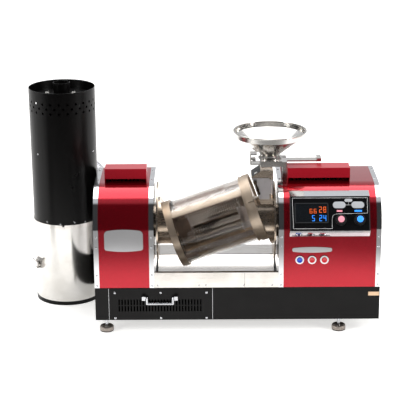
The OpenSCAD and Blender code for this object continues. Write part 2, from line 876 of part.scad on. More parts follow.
module latch_base() {
    color("#c0bcb8") translate(unit_at) at_latch() difference() {
        union() {
            difference() {
                translate([-6, -14, -16]) cube([14, 34, 32]);
                translate([-pot_r, 0, -20]) cylinder(r = pot_r + seat, h = 40, $fn = 96);
            }
            for (side = [-1, 1])
                translate([5, latch_pin[1] - 6, side > 0 ? 10 : -14]) cube([18, 12, 4]);
        }
        translate([latch_pin[0], latch_pin[1], -20]) cylinder(r = 2.5 + run_clear, h = 40);
    }
}

module latch_lever() {
    color("#b8b4b0") translate(unit_at) at_latch() translate([latch_pin[0], latch_pin[1], 0]) {
        translate([0, 0, -15]) cylinder(r = 2.5, h = 30);
        rotate(-6) translate([-3, -lever_l, -9]) cube([5, lever_l + 4, 18]);
        rotate(-6) translate([-1, -lever_l, -9]) rotate([0, 0, -24]) translate([-2, -12, 0]) cube([4, 14, 18]);
    }
}

// ---------------------------------------------------------------- drum

module glass_drum() {
    color("#dfeaf0", 0.35) translate(unit_at) on_drum() difference() {
        rod_x(-end_s, end_s, glass_r);
        rod_x(-end_s - 1, end_s + 1, glass_r - glass_wall);
    }
}

// A clamp ring with its bolted joint; the right one also has the glass's thin flange
module drum_ring(side) {
    s0 = side * ring_s - ring_w / 2;
    difference() {
        union() {
            rod_x(s0, s0 + ring_w, ring_r);
            rotate([side > 0 ? 60 : 75, 0, 0]) translate([s0 + 2, -6, ring_r - 2]) cube([ring_w - 4, 12, 8]);
            rotate([180, 0, 0]) translate([s0 + 2, -14, ring_r - 2]) cube([ring_w - 4, 28, 6]);
            if (side > 0) rod_x(s0 - 12, s0 - 9, ring_r);
            if (side > 0) rod_x(s0 - 12, s0 + 1, glass_r + 2);
        }
        rod_x(s0 - 13, s0 + ring_w + 1, glass_r + seat);
    }
}

module drum_ring_left() {
    color("#b5aca2") translate(unit_at) on_drum() drum_ring(-1);
}

module drum_ring_right() {
    color("#b5aca2") translate(unit_at) on_drum() drum_ring(1);
}

// What lies outside the drum's end plate on one side
module beyond_drum(side, s) {
    on_drum() mirror([side > 0 ? 0 : 1, 0, 0]) translate([s, -300, -300]) cube([400, 600, 600]);
}

// The cut tube of one side, which stays clear of the clamp ring where it passes the glass
module cut_tube(side) {
    difference() {
        intersection() {
            on_axis() rod_x(side > 0 ? bay_mid : disc_left_x, side > 0 ? disc_right_x + 1 : bay_mid, elbow_r);
            beyond_drum(side, plate_s - 1);
        }
        on_drum() mirror([side > 0 ? 0 : 1, 0, 0]) difference() {
            translate([0, -300, -300]) cube([ring_out, 600, 600]);
            rod_x(-1, ring_out + 1, glass_r);
        }
    }
}

// Its bore: as wide as the glass's bore up to the ring, then as wide as the tube
module tube_bore(side) {
    intersection() {
        on_axis() rod_x(side > 0 ? bay_mid : disc_left_x + disc_t, side > 0 ? disc_right_x : bay_mid, elbow_r - elbow_wall);
        union() {
            beyond_drum(side, ring_out + elbow_wall);
            on_drum() mirror([side > 0 ? 0 : 1, 0, 0]) rod_x(end_s - 1, ring_out + elbow_wall + 1, glass_r - glass_wall);
        }
    }
}

// The cut tube, end plate, flange disc and journal of one side are one welding
module elbow_left() {
    color("#a89c90") translate(unit_at) difference() {
        union() {
            cut_tube(-1);
            on_drum() rod_x(-plate_s, -end_s, glass_r);
            on_axis() rod_x(disc_left_x, disc_left_x + disc_t, disc_r);
            on_axis() rod_x(journal_end_left, disc_left_x + 1, journal_r);
        }
        tube_bore(-1);
        on_axis() rod_x(journal_end_left - 1, disc_left_x + disc_t + 1, journal_r - journal_wall);
    }
}

// The same on the right, with the spout seated on the tube and the cover's knuckles on the spout
module elbow_right() {
    color("#a89c90") translate(unit_at) difference() {
        union() {
            cut_tube(1);
            on_drum() rod_x(end_s, plate_s, glass_r);
            on_axis() rod_x(disc_right_x, disc_right_x + disc_t, disc_r);
            on_axis() rod_x(disc_right_x + 1, journal_end_right, journal_r);
            on_axis() difference() {
                along_y(-spout_w / 2, spout_w / 2, spout_outline(0, spout_low));
                rod_x(bay_mid, disc_right_x, elbow_r + seat);
            }
            hinge_knuckles();
        }
        tube_bore(1);
        on_axis() rod_x(disc_right_x - 1, journal_end_right + 1, journal_r - journal_wall);
        on_axis() along_y(-spout_w / 2 + spout_t, spout_w / 2 - spout_t, spout_outline(spout_t, spout_low - 1));
        on_axis() along_y(-spout_w / 2 - 1, -spout_w / 2 + spout_t + 1, door_window());
        translate([inlet_x, 0, axis_z + spout_h - 4]) cylinder(r = inlet_r, h = 6);
        door_hinge_bore();
    }
}

door_low = 92;
door_y = -spout_w / 2 - seat;
door_t = 2.5;
hinge_r = 4;
hinge_x = spout_right - 4;
hinge_y = door_y - hinge_r;

// The hole in the spout's front that the door closes
function door_window() = [
    [slope_x(spout_s + 12, door_low + 10), door_low + 10],
    [slope_x(spout_s + 12, bevel_v - 12), bevel_v - 12],
    [spout_right - 16, bevel_v - 12],
    [spout_right - 16, door_low + 10]
];

// Two fixed knuckles at the ends of the cover's hinge
module hinge_knuckles() {
    for (v = [door_low + 4, spout_h - 30])
        translate([hinge_x, hinge_y, axis_z + v]) {
            cylinder(r = hinge_r, h = 14);
            translate([-hinge_r, 0, 0]) cube([2 * hinge_r, -hinge_y - spout_w / 2 - seat, 14]);
        }
}

module door_hinge_bore() {
    translate([hinge_x, hinge_y, axis_z]) cylinder(r = 2 + run_clear, h = spout_h + 20);
}

// The hinged cover on the spout's front
module drum_door() {
    v0 = door_low + 19;
    v1 = spout_h - 31;
    outline = [
        [slope_x(spout_s + 2, door_low), door_low],
        [slope_x(spout_s + 2, bevel_v - 2), bevel_v - 2],
        [spout_right - 13, bevel_v - 2],
        [spout_right - 13, door_low]
    ];
    color("#c2bcb8") translate(unit_at) {
        on_axis() along_y(door_y - door_t, door_y, outline);
        on_axis() box(spout_right - 14, hinge_x, door_y - door_t, door_y, v0, v1);
        translate([hinge_x, hinge_y, axis_z]) {
            translate([0, 0, v0]) cylinder(r = hinge_r, h = v1 - v0);
            translate([0, 0, door_low + 1]) cylinder(r = 2, h = spout_h - door_low - 14);
        }
    }
}

latch_v = spout_h - 68;
latch_pivot = [slope_x(spout_s + 8, latch_v), latch_v];
latch_turn = tilt;

// Lever with a knob, on the door beside the clamp ring
module door_latch() {
    y1 = door_y - door_t - seat;
    color("#8e7460") translate(unit_at) on_axis() translate([latch_pivot[0], 0, latch_pivot[1]]) {
        rotate([0, -latch_turn, 0]) {
            box(-3, 3, y1 - 5, y1, -14, 34);
            translate([0, 0, 30]) rod_y(y1 - 12, y1, 6);
            rod_y(y1 - 9, y1, 5);
            translate([0, 0, -14]) rod_y(y1 - 8, y1, 4.5);
        }
    }
}

// The flap that closes the bean inlet from inside
module inlet_flap() {
    pivot_v = spout_h - spout_t - 4;
    reach = 2 * inlet_r - 1;
    color("#b0a89e") translate(unit_at) on_axis() translate([spout_right - spout_t - 3, 0, pivot_v]) {
        rod_y(-spout_w / 2 + spout_t + seat, spout_w / 2 - spout_t - seat, 2);
        box(-reach, 0, -inlet_r - 4, inlet_r + 4, 1.6, 3.6);
    }
}

bar_turns = [45, 135, 225, 315];
bar_t = 2.5;

bracket_w = 62;
bracket_h = 80;
bracket_y = -12 - seat - bar_t;               // just in front of the comb's arms

// Flat bars along the glass that lift the beans, and a bracket plate on each arm of the comb
module lifting_bars() {
    color("#d6cdc2") translate(unit_at) on_drum() {
        for (a = bar_turns) rotate([a, 0, 0])
            translate([-end_s + seat, -bar_t / 2, glass_r - glass_wall - seat - bar_deep])
                cube([glass_l - 2 * seat, bar_t, bar_deep]);
        for (end = [0, 1]) mirror([end, 0, 0]) mirror([0, 0, end]) {
            translate([end_s - seat - bracket_w, bracket_y, -60]) difference() {
                cube([bracket_w, bar_t, bracket_h]);
                translate([bracket_w / 2, 0, 18]) rod_y(-1, bar_t + 1, 5);
                translate([bracket_w - 14, 0, 62]) rod_y(-1, bar_t + 1, 3);
            }
            translate([end_s - seat - bracket_w, bracket_y - 14, -60]) cube([bar_t, 14 + bar_t, bracket_h]);
        }
    }
}

screen_y = 72;

// A perforated sheet across the back of the drum
module screen_plate() {
    screen_l = 2 * end_s - 2 * seat;
    screen_h = 2 * sqrt(pow(glass_r - glass_wall - 1, 2) - pow(screen_y + 2, 2)) - 30;
    rows = floor((screen_h - 16) / (screen_pitch * 0.866));
    holes = floor((screen_l - 120) / screen_pitch);
    color("#a39a92") translate(unit_at) on_drum() translate([0, screen_y + 1.5, 0]) rotate([90, 0, 0])
        linear_extrude(height = 1.5) difference() {
            square([screen_l, screen_h], center = true);
            for (row = [0 : rows - 1], i = [0 : holes - 1])
                translate([
                    (i - holes / 2 + (row % 2) / 2) * screen_pitch,
                    (row - (rows - 1) / 2) * screen_pitch * 0.866
                ]) circle(d = screen_hole, $fn = 24);
        }
}

comb_l = 190;
comb_in = 26;
comb_out = 62;
tine_t = 2.4;
tine_end_w = 16;                              // width of a blade at the comb's ends
tine_mid_w = 40;                              // and in its middle
spine_r = 5;
arm_t = 3;
arm_l = 108;                                  // from below the spine to the end plate's closed part

// A comb that winds along the drum: one blade on one stalk for each tine, all on a spine
module paddle_comb() {
    color("#4a4038") translate(unit_at) on_drum() {
        rod_x(-end_s + seat, end_s - seat, spine_r);
        for (end = [0, 1]) mirror([end, 0, 0]) mirror([0, 0, end])
            translate([end_s - seat - arm_t, -12, -8]) cube([arm_t, 24, arm_l]);
        for (i = [0 : tines - 1]) {
            part = (i + 0.5) / tines;
            w = tine_end_w + (tine_mid_w - tine_end_w) * sin(180 * part);
            translate([part * comb_l - comb_l / 2, 0, 0]) rotate([comb_twist * part - 165, 0, 0]) {
                translate([-tine_t / 2, -w / 2, comb_in]) cube([tine_t, w, comb_out - comb_in]);
                translate([-tine_t / 2, -2, 0]) cube([tine_t, 4, comb_in + 1]);
            }
        }
    }
}

// ---------------------------------------------------------------- drive and air supply

module drum_bearings() {
    color("#808488") translate(unit_at) for (x = [bearing_left_x, bearing_right_x]) difference() {
        union() {
            on_axis() rod_x(x, x + bearing_w, journal_r + 18);
            box(x, x + bearing_w, -50, 50, base_top + seat, axis_z);
            box(x - 6, x + bearing_w + 6, -70, 70, base_top + seat, base_top + 10);
        }
        on_axis() rod_x(x - 1, x + bearing_w + 1, journal_r + run_clear);
    }
}

module drum_pulley() {
    color("#9a9ea2") translate(unit_at) on_axis() difference() {
        union() {
            rod_x(pulley_x, pulley_x + pulley_w, drum_pulley_r);
            rod_x(pulley_x - 2, pulley_x, drum_pulley_r + 4);
            rod_x(pulley_x + pulley_w, pulley_x + pulley_w + 2, drum_pulley_r + 4);
        }
        rod_x(pulley_x - 3, pulley_x + pulley_w + 3, journal_r);
        for (a = [30 : 60 : 330]) rotate([a, 0, 0]) translate([0, 0, 72]) rod_x(pulley_x - 3, pulley_x + pulley_w + 3, 6);
    }
}

module at_motor() {
    translate([0, motor_at[0], axis_z + motor_at[1]]) children();
}

module motor_pulley() {
    color("#9a9ea2") translate(unit_at) at_motor() {
        rod_x(pulley_x, pulley_x + pulley_w, motor_pulley_r);
        rod_x(pulley_x - 2, pulley_x, motor_pulley_r + 4);
        rod_x(pulley_x + pulley_w, pulley_x + pulley_w + 2, motor_pulley_r + 4);
        rod_x(pulley_x + pulley_w + 2, pulley_x + pulley_w + 30, motor_shaft_r);
    }
}

module gearmotor() {
    x0 = pulley_x + pulley_w + 8;
    color("#5c6468") translate(unit_at) difference() {
        union() {
            at_motor() rod_x(x0, x0 + 30, motor_r + 6);
            at_motor() rod_x(x0 + 30, x0 + 116, motor_r);
            translate([0, motor_at[0], 0])
                box(x0, x0 + 84, -38, 38, base_top + seat, axis_z + motor_at[1] - motor_r + 12);
        }
        at_motor() rod_x(x0 - 1, x0 + 26, motor_shaft_r + run_clear);
    }
}

module drive_belt() {
    color("#181818") translate(unit_at) translate([pulley_x + 2, 0, axis_z]) rotate([90, 0, 90])
        linear_extrude(height = pulley_w - 4) difference() {
            belt_loop(belt_t + seat);
            belt_loop(seat);
        }
}

module belt_loop(grow) {
    hull() {
        circle(r = drum_pulley_r + grow, $fn = 64);
        translate(motor_at) circle(r = motor_pulley_r + grow, $fn = 32);
    }
}

// Six straight heating rods between two spiders, inside the hot air tube
module heater_rods() {
    spider_t = 3;
    x0 = heater_x + 6;
    x1 = fan_x - 12;
    color("#7c6c60") translate(unit_at) on_axis() {
        for (a = [0 : 60 : 300]) rotate([a, 0, 0]) translate([0, 0, 34]) rod_x(x0, x1, 3.5);
        for (x = [x0, x1 - spider_t]) difference() {
            rod_x(x, x + spider_t, 52 - seat);
            rod_x(x - 1, x + spider_t + 1, 24);
        }
    }
}

// Round fan casing with the hot air tube in front, its motor behind and a stand below
module fan_casing() {
    x1 = fan_x + fan_w;
    color("#8a8e92") translate(unit_at) difference() {
        union() {
            on_axis() rod_x(fan_x, x1, fan_r);
            on_axis() rod_x(heater_x, fan_x + 1, 54);
            on_axis() rod_x(x1 - 1, x1 + fan_motor_l, 32);
            box(fan_x + 6, x1 - 6, -46, 46, base_top + seat, axis_z - fan_r + 16);
        }
        on_axis() rod_x(fan_x + sheet, x1 - sheet, fan_r - sheet);
        on_axis() rod_x(heater_x - 1, fan_x + sheet + 1, 52);
        on_axis() rod_x(x1 - sheet - 1, x1 + 22, fan_shaft_r + run_clear);
    }
}

module fan_impeller() {
    blades = 12;
    x0 = fan_x + 10;
    x1 = fan_x + fan_w - sheet - 4;
    color("#a4a8ac") translate(unit_at) on_axis() {
        rod_x(x0 + 8, x1, 16);
        rod_x(x1 - 2, x1, 78);
        rod_x(x1, x1 + 24, fan_shaft_r);
        for (i = [0 : blades - 1]) rotate([i * 360 / blades, 0, 0])
            translate([x0, -1, 50]) rotate([-28, 0, 0]) cube([x1 - x0 - 1, 2, 26]);
    }
}

base_shell();
levelling_feet();
louvre_panel();
trim_screws();
front_panel();
bay_tray();
left_shell();
right_shell();
left_outer_frame();
left_inner_frame();
right_inner_frame();
right_outer_frame();
vent_hoods();
console();
control_panel();
display_window();
red_knob();
blue_knob();
button_bezels();
left_button();
middle_button();
right_button();
face_plates();
hopper();
hopper_bracket();
hopper_clamps();
slide_gate();
collector_pot();
collector_base();
collector_tube();
collector_deck();
collector_band();
chaff_filter();
collector_inlet();
flex_duct();
exhaust_outlet();
latch_base();
latch_lever();
handle_posts();
bail_handle();
glass_drum();
drum_ring_left();
drum_ring_right();
elbow_left();
elbow_right();
screen_plate();
paddle_comb();
lifting_bars();
drum_door();
door_latch();
inlet_flap();
drum_pulley();
drum_bearings();
motor_pulley();
gearmotor();
drive_belt();
heater_rods();
fan_casing();
fan_impeller();
cable_gland();
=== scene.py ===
# %% [markdown]
# A coffee roaster on a studio floor: a glass drum turns on a slant between two red housings,
# with a hopper above it and a tall smoke collector beside it. The machine's solids come in as
# a fixed frame. This lesson gives them a camera, light, finishes and the small pieces that
# make them look real. All sizes below are in millimetres until mm() turns them into metres.

# %% The frame and its units
import math
import bpy
import bmesh
from mathutils import Matrix, Vector
from mathutils.geometry import delaunay_2d_cdt


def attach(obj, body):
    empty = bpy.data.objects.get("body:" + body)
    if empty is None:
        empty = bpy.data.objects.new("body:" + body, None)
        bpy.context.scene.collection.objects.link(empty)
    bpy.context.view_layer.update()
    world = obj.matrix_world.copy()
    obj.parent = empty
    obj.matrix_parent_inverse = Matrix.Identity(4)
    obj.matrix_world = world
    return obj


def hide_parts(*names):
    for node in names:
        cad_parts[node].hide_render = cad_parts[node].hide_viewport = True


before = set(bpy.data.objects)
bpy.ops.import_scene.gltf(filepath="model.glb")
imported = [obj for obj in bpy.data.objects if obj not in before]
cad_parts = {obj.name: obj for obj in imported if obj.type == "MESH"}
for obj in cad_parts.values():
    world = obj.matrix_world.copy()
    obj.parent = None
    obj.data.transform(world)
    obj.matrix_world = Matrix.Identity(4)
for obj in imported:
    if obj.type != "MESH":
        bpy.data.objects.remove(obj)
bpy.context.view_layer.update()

MACHINE_AT = Vector((130.75, -20.2, 0.0))   # the main unit's middle, in the part's own frame


def mm(x, y, z):
    """A point of the main unit, in millimetres from its middle, as metres in the frame."""
    return (Vector((x, y, z)) + MACHINE_AT) / 1000


# %% [markdown]
# The camera comes first, because every later choice is judged through it. It stands almost
# five metres away with a long lens, as product photographers do: the far view keeps the
# housings' sides nearly parallel. Its place and tilt were worked out from the edges of the
# base, so they are written as one position and three angles.

# %% The camera
CAMERA_AT = mm(-91.298, -4794.896, 1946.256)
PITCH, YAW, ROLL = 0.307693843, -0.00791314, 0.00842050
SENSOR, LENS, SIGHT = 36.0, 126.002, 60.0

forward = Vector((math.sin(YAW) * math.cos(PITCH), math.cos(YAW) * math.cos(PITCH),
                  -math.sin(PITCH)))
level = Vector((math.cos(YAW), -math.sin(YAW), 0.0))
down = forward.cross(level)
right = math.cos(ROLL) * level + math.sin(ROLL) * down
down = -math.sin(ROLL) * level + math.cos(ROLL) * down

lens = bpy.data.cameras.new("studio_camera")
lens.sensor_width, lens.lens, lens.clip_end = SENSOR, LENS, SIGHT
camera = bpy.data.objects.new("studio_camera", lens)
bpy.context.scene.collection.objects.link(camera)
turn = Matrix((right, -down, -forward)).transposed().to_4x4()
camera.matrix_world = Matrix.Translation(CAMERA_AT) @ turn
bpy.context.scene.camera = camera
print("camera at", [round(v, 3) for v in CAMERA_AT])

# %% [markdown]
# A few helpers serve every finish. Colours are picked as the hex values that a screen shows,
# while a shader works in linear light, so one function converts them. One function adds a
# node with its settings and links. One starts a finish from the physical values that most
# affect it: colour, metal or not, and roughness. The others lay noise over those values.

# %% Helpers for finishes
def colour(hex_value):
    """A screen colour such as #c0b2a3 as linear light, by the usual screen curve."""
    parts = [int(hex_value[i:i + 2], 16) / 255 for i in (1, 3, 5)]
    return [c / 12.92 if c <= 0.04045 else ((c + 0.055) / 1.055) ** 2.4 for c in parts] + [1.0]


def add(tree, kind, inputs=None, **settings):
    """One node, with its inputs linked or set, and its settings."""
    made = tree.nodes.new(kind)
    for key, value in settings.items():
        setattr(made, key, value)
    for key, value in (inputs or {}).items():
        if isinstance(value, bpy.types.NodeSocket):
            tree.links.new(value, made.inputs[key])
        else:
            made.inputs[key].default_value = value
    return made


def new_finish(name, base, metal, rough, **more):
    """A material with one physical shader; more sets its other inputs by name."""
    material = bpy.data.materials.new(name)
    material.use_nodes = True
    tree = material.node_tree
    tree.nodes.clear()
    shader = add(tree, "ShaderNodeBsdfPrincipled",
                 {"Base Color": colour(base), "Metallic": metal, "Roughness": rough})
    for key, value in more.items():
        shader.inputs[key.replace("_", " ")].default_value = value
    add(tree, "ShaderNodeOutputMaterial", {"Surface": shader.outputs[0]})
    return material, tree, shader


def pattern(tree, size_mm, stretch=(1, 1, 1), detail=2.0):
    """Noise whose cells measure about size_mm, drawn out along an axis where stretch is small."""
    place = add(tree, "ShaderNodeTexCoord")
    drawn = add(tree, "ShaderNodeMapping",
                {"Vector": place.outputs["Object"], "Scale": stretch})
    return add(tree, "ShaderNodeTexNoise",
               {"Vector": drawn.outputs[0], "Scale": 1000 / size_mm, "Detail": detail})


def spread(tree, source, low, high):
    """A 0 to 1 value spread over another range."""
    return add(tree, "ShaderNodeMapRange",
               {"Value": source, "To Min": low, "To Max": high}).outputs[0]


def tint(tree, source, first, second):
    """A 0 to 1 value as a blend of two colours."""
    ramp = add(tree, "ShaderNodeValToRGB", {"Fac": source})
    for stop, position, shade in zip(ramp.color_ramp.elements, (0.3, 0.7), (first, second)):
        stop.position, stop.color = position, colour(shade)
    return ramp.outputs[0]


def emboss(tree, shader, source, height_mm):
    """Bump of a real height from a 0 to 1 value."""
    raised = add(tree, "ShaderNodeBump",
                 {"Height": source, "Distance": height_mm / 1000, "Strength": 1.0})
    tree.links.new(raised.outputs[0], shader.inputs["Normal"])


FINISHES = {}
print("lacquer red in linear light", [round(c, 3) for c in colour("#9c0a1e")])

# %% [markdown]
# The housings are steel sheet in a candy red: a metallic ground coat under tinted lacquer.
# The eye sees a deep colour that brightens where the sheet mirrors something light, so the
# finish is mostly metallic with a clear coat over it. Flakes are about 0.2 mm across in
# reality; they are drawn at 1.5 mm, which is the least that shows from five metres. The two
# raised hoods were sprayed apart and are duller, so they have less metal and more roughness.

# %% Candy red lacquer
FLAKE_MM, SMEAR_MM = 1.5, 90


def red_lacquer(name, base, shades, metal, rough, coat, coat_rough):
    """Red lacquer whose flakes run between two shades."""
    material, tree, shader = new_finish(name, base, metal, rough, Coat_Weight=coat,
                                        Coat_Roughness=coat_rough)
    flakes = pattern(tree, FLAKE_MM)
    tree.links.new(tint(tree, flakes.outputs[0], *shades), shader.inputs["Base Color"])
    return material, tree, shader


FINISHES["candy_red"], tree, shader = red_lacquer(
    "candy_red_lacquer", "#9c0a1e", ("#8c0818", "#ad0e24"), 0.85, 0.14, 0.45, 0.05)
smears = pattern(tree, SMEAR_MM, detail=3.0)
tree.links.new(spread(tree, smears.outputs[0], 0.11, 0.19), shader.inputs["Roughness"])
FINISHES["hood_red"] = red_lacquer(
    "hood_red_lacquer", "#b30620", ("#a8041c", "#bd0a26"), 0.3, 0.4, 0.5, 0.2)[0]
print("made", FINISHES["candy_red"].name, FINISHES["hood_red"].name)

# %% [markdown]
# Most of the bright parts are 304 stainless steel. The bands are polished lengthwise, the
# hopper and the collector's pot were spun on a lathe, and the drum's fittings were left
# plain and have been browned by heat. One function serves them all: the direction in which
# the noise is drawn out sets the direction of the polishing lines. Real lines are some
# hundredths of a millimetre wide; they are drawn about 2 mm wide, so that they show.

# %% Stainless steels
LINE_HEIGHT_MM = 0.02


def steel(name, base, second, rough, line_mm, stretch, cloud_mm):
    """Stainless steel with polishing lines and clouds of handling marks."""
    material, tree, shader = new_finish(name, base, 1.0, rough, Anisotropic=0.25)
    lines = pattern(tree, line_mm, stretch, 3.0)
    clouds = pattern(tree, cloud_mm, detail=4.0)
    tree.links.new(tint(tree, clouds.outputs[0], base, second), shader.inputs["Base Color"])
    both = add(tree, "ShaderNodeMath", {0: lines.outputs[0], 1: clouds.outputs[0]},
               operation="MULTIPLY")
    tree.links.new(spread(tree, both.outputs[0], rough * 0.6, rough * 2.0),
                   shader.inputs["Roughness"])
    emboss(tree, shader, lines.outputs[0], LINE_HEIGHT_MM)
    return material


EVEN = (1, 1, 1)               # no lines
UPRIGHT, BRUSHED = (1, 1, 0.02), (1, 1, 0.03)
SIDEWAYS, ALONG_TUBE = (0.02, 1, 1), (0.05, 1, 1)
LATHE = (0.03, 0.03, 1)

STEELS = {
    # mirror-like, so that it shows the table and the dark room
    "polished_band": ("polished_stainless", "#d6d6d8", "#cccbcc", 0.08, 2.0, UPRIGHT, 70),
    # plain rolled sheet: a soft reflection
    "polished_sheet": ("satin_stainless_sheet", "#d3cfcb", "#c6c1bb", 0.24, 2.0, SIDEWAYS, 70),
    # lathe rings round the hopper and the pot
    "spun_steel": ("spun_stainless", "#d2d0cd", "#c4c1bc", 0.2, 1.6, LATHE, 70),
    # browned by the hot air inside the drum
    "drum_steel": ("heated_stainless", "#c0b2a3", "#ac9c8b", 0.26, 2.0, ALONG_TUBE, 45),
    "satin_sheet": ("brushed_stainless_sheet", "#cbc6c6", "#bdb7b8", 0.36, 2.0, BRUSHED, 70),
    # the comb and the heating rods, stained nearly black
    "dark_steel": ("heat_stained_steel", "#5d5046", "#3c332c", 0.38, 2.5, EVEN, 30),
    # a matt ring, blasted before it was clamped on
    "ring_steel": ("blasted_ring_steel", "#b9aa99", "#ab9b8a", 0.46, 2.0, EVEN, 60),
    # strips in the drum, each dull and in a shade of its own
    "cream_strip": ("cream_strip_steel", "#d8cec0", "#cbbfb0", 0.5, 2.0, ALONG_TUBE, 60),
    "tan_strip": ("tan_strip_steel", "#b09878", "#9a8266", 0.48, 2.0, ALONG_TUBE, 60),
    "brown_strip": ("brown_strip_steel", "#8e8078", "#7c6e66", 0.5, 2.0, ALONG_TUBE, 60),
}
for finish_name, values in STEELS.items():
    FINISHES[finish_name] = steel(*values)
print("steels", len(STEELS))

# %% [markdown]
# Powder coat is baked polyester: satin, with a faint orange-peel grain of about 1 mm, drawn
# at 2 mm here. The control panel is a sheet of gloss black polycarbonate in a chromed frame.
# The duct is bare aluminium foil, and the drive parts are grey castings. Each gets a fine
# grain in its surface and clouds of 60 mm in its colour and roughness.

# %% Coatings, plastics and the other metals
CLOUD_MM = 60


def grained(name, base, second, metal, rough, grain_mm, height_mm, **more):
    """A surface with a fine raised grain and slow clouds of colour and roughness."""
    material, tree, shader = new_finish(name, base, metal, rough, **more)
    grain = pattern(tree, grain_mm)
    clouds = pattern(tree, CLOUD_MM, detail=3.0)
    tree.links.new(tint(tree, clouds.outputs[0], base, second), shader.inputs["Base Color"])
    tree.links.new(spread(tree, clouds.outputs[0], rough * 0.8, rough * 1.2),
                   shader.inputs["Roughness"])
    emboss(tree, shader, grain.outputs[0], height_mm)
    return material


# name, two shades, metal, roughness, grain and its height in mm
GRAINED = {
    # near black with a soft sheen
    "powder_coat": ("black_powder_coat", "#0b0a0a", "#080707", 0.0, 0.3, 2.0, 0.015),
    # sharp, dark reflections
    "gloss_black": ("gloss_polycarbonate", "#070708", "#0a0a0c", 0.0, 0.09, 4.0, 0.004),
    "chrome": ("chrome_plate", "#dfe0e2", "#d8d9dc", 1.0, 0.07, 20.0, 0.006),
    # crinkled, so that its light breaks up
    "foil": ("aluminium_foil", "#d0d0d2", "#bcbcc0", 1.0, 0.3, 3.0, 0.06),
    "casting": ("grey_casting", "#7c8084", "#6c7074", 0.6, 0.5, 1.5, 0.1),
    "turned_metal": ("turned_aluminium", "#c2c3c6", "#b4b5b8", 1.0, 0.25, 2.0, 0.02),
    "black_abs": ("black_abs", "#161617", "#1b1b1c", 0.0, 0.38, 0.8, 0.02),
    "belt_rubber": ("belt_rubber", "#1a1a1a", "#141414", 0.0, 0.7, 1.2, 0.06),
    "smoked_window": ("smoked_acrylic", "#0d1013", "#111519", 0.0, 0.06, 6.0, 0.003),
    "blue_lens": ("blue_acrylic_lens", "#1040b0", "#0c38a2", 0.0, 0.2, 3.0, 0.01),
    "red_lens": ("red_acrylic_lens", "#c02028", "#b01a24", 0.0, 0.2, 3.0, 0.01),
    # glazed: bright, with a broad highlight; also the white of the painted glints on the
    # collector's deck
    "white_glaze_and_glint": ("white_glaze_and_glint", "#e8e6e2", "#dcdad4", 0.0, 0.35, 2.0, 0.02),
    "silicone": ("black_silicone", "#101010", "#181818", 0.0, 0.55, 1.0, 0.03),
    "pale_plate": ("pale_bracket_plate", "#e2dcdc", "#d6cfcf", 0.1, 0.5, 3.0, 0.01),
    "screen_steel": ("perforated_sheet", "#c4b5a6", "#b3a495", 0.1, 0.55, 3.0, 0.01),
    "foot_pad": ("cast_foot_pad", "#9b928b", "#8d847d", 0.7, 0.32, 3.0, 0.02),
    "print_white": ("white_print", "#e4e4e4", "#dcdcdc", 0.0, 0.4, 2.0, 0.002),
    "print_grey": ("grey_print", "#b9bbbf", "#b1b3b7", 0.0, 0.35, 2.0, 0.002),
    "peach_tag": ("peach_card", "#d9b896", "#d3b18e", 0.0, 0.6, 1.5, 0.01),
}
# a clear coat, and how much a dull coating reflects
TOP_COATS = {
    "powder_coat": {"Specular_IOR_Level": 0.14}, "gloss_black": {"Coat_Weight": 0.5},
    "smoked_window": {"Coat_Weight": 0.6}, "blue_lens": {"Coat_Weight": 0.4},
    "red_lens": {"Coat_Weight": 0.4},
}
for finish_name, values in GRAINED.items():
    FINISHES[finish_name] = grained(*values, **TOP_COATS.get(finish_name, {}))
print("grained", len(GRAINED))

# %% [markdown]
# A lit segment or lamp gives light of its own. It stands behind a matt film, so its body is
# the same pale colour as its light, and the glow is kept low enough to keep that colour.

# %% Lit segments and lamps
HAZE_MM = 8.0


def glow(name, base, strength):
    """A lit window: its own light, on a pale body."""
    material, tree, shader = new_finish(name, base, 0.0, 0.3, Emission_Strength=strength)
    shader.inputs["Emission Color"].default_value = colour(base)
    haze = pattern(tree, HAZE_MM)
    tree.links.new(tint(tree, haze.outputs[0], base, base), shader.inputs["Base Color"])
    return material


FINISHES["orange_light"] = glow("orange_segments", "#d65a22", 0.7)
FINISHES["blue_light"] = glow("blue_segments", "#2f86f0", 0.9)
FINISHES["pink_light"] = glow("pink_indicator", "#d98a98", 0.45)
print("lights", [name for name in FINISHES if name.endswith("_light")])

# %% [markdown]
# The drum is a borosilicate glass tube with a 5 mm wall. Glass needs little colour: its look
# comes from refraction (IOR 1.47 for borosilicate) and from clean reflections. Smoke has
# tinted this one a faint tan. A thin film of oil and chaff makes it a little uneven, so its
# roughness varies slightly. Bent light seldom finds a lamp in a render, which would leave the
# inside too dark, so half of the light goes straight through (an alpha of one half).

# %% Borosilicate glass
FILM_MM = 50
FINISHES["drum_glass"], tree, shader = new_finish(
    "borosilicate_glass", "#e2d6ca", 0.0, 0.02, IOR=1.47, Transmission_Weight=1.0, Alpha=0.5)
film = pattern(tree, FILM_MM, detail=4.0)
tree.links.new(spread(tree, film.outputs[0], 0.0, 0.06), shader.inputs["Roughness"])
print("finishes", len(FINISHES))

# %% [markdown]
# Every solid of the machine now gets the finish of the real piece. Solids arrive as loose
# triangles with flat faces. A small node tree welds them and shades each curved face smooth,
# keeping an edge sharp where its faces meet at more than 32 degrees. As a modifier it leaves
# the solid's own mesh alone.

# %% Welding and smoothing
WELD_M, SHARP = 0.00001, math.radians(32)


def socket(tree, name, kind, way="INPUT", value=None):
    """One named input or output of a node tree."""
    made = tree.interface.new_socket(name, in_out=way, socket_type="NodeSocket" + kind)
    if value is not None:
        made.default_value = value


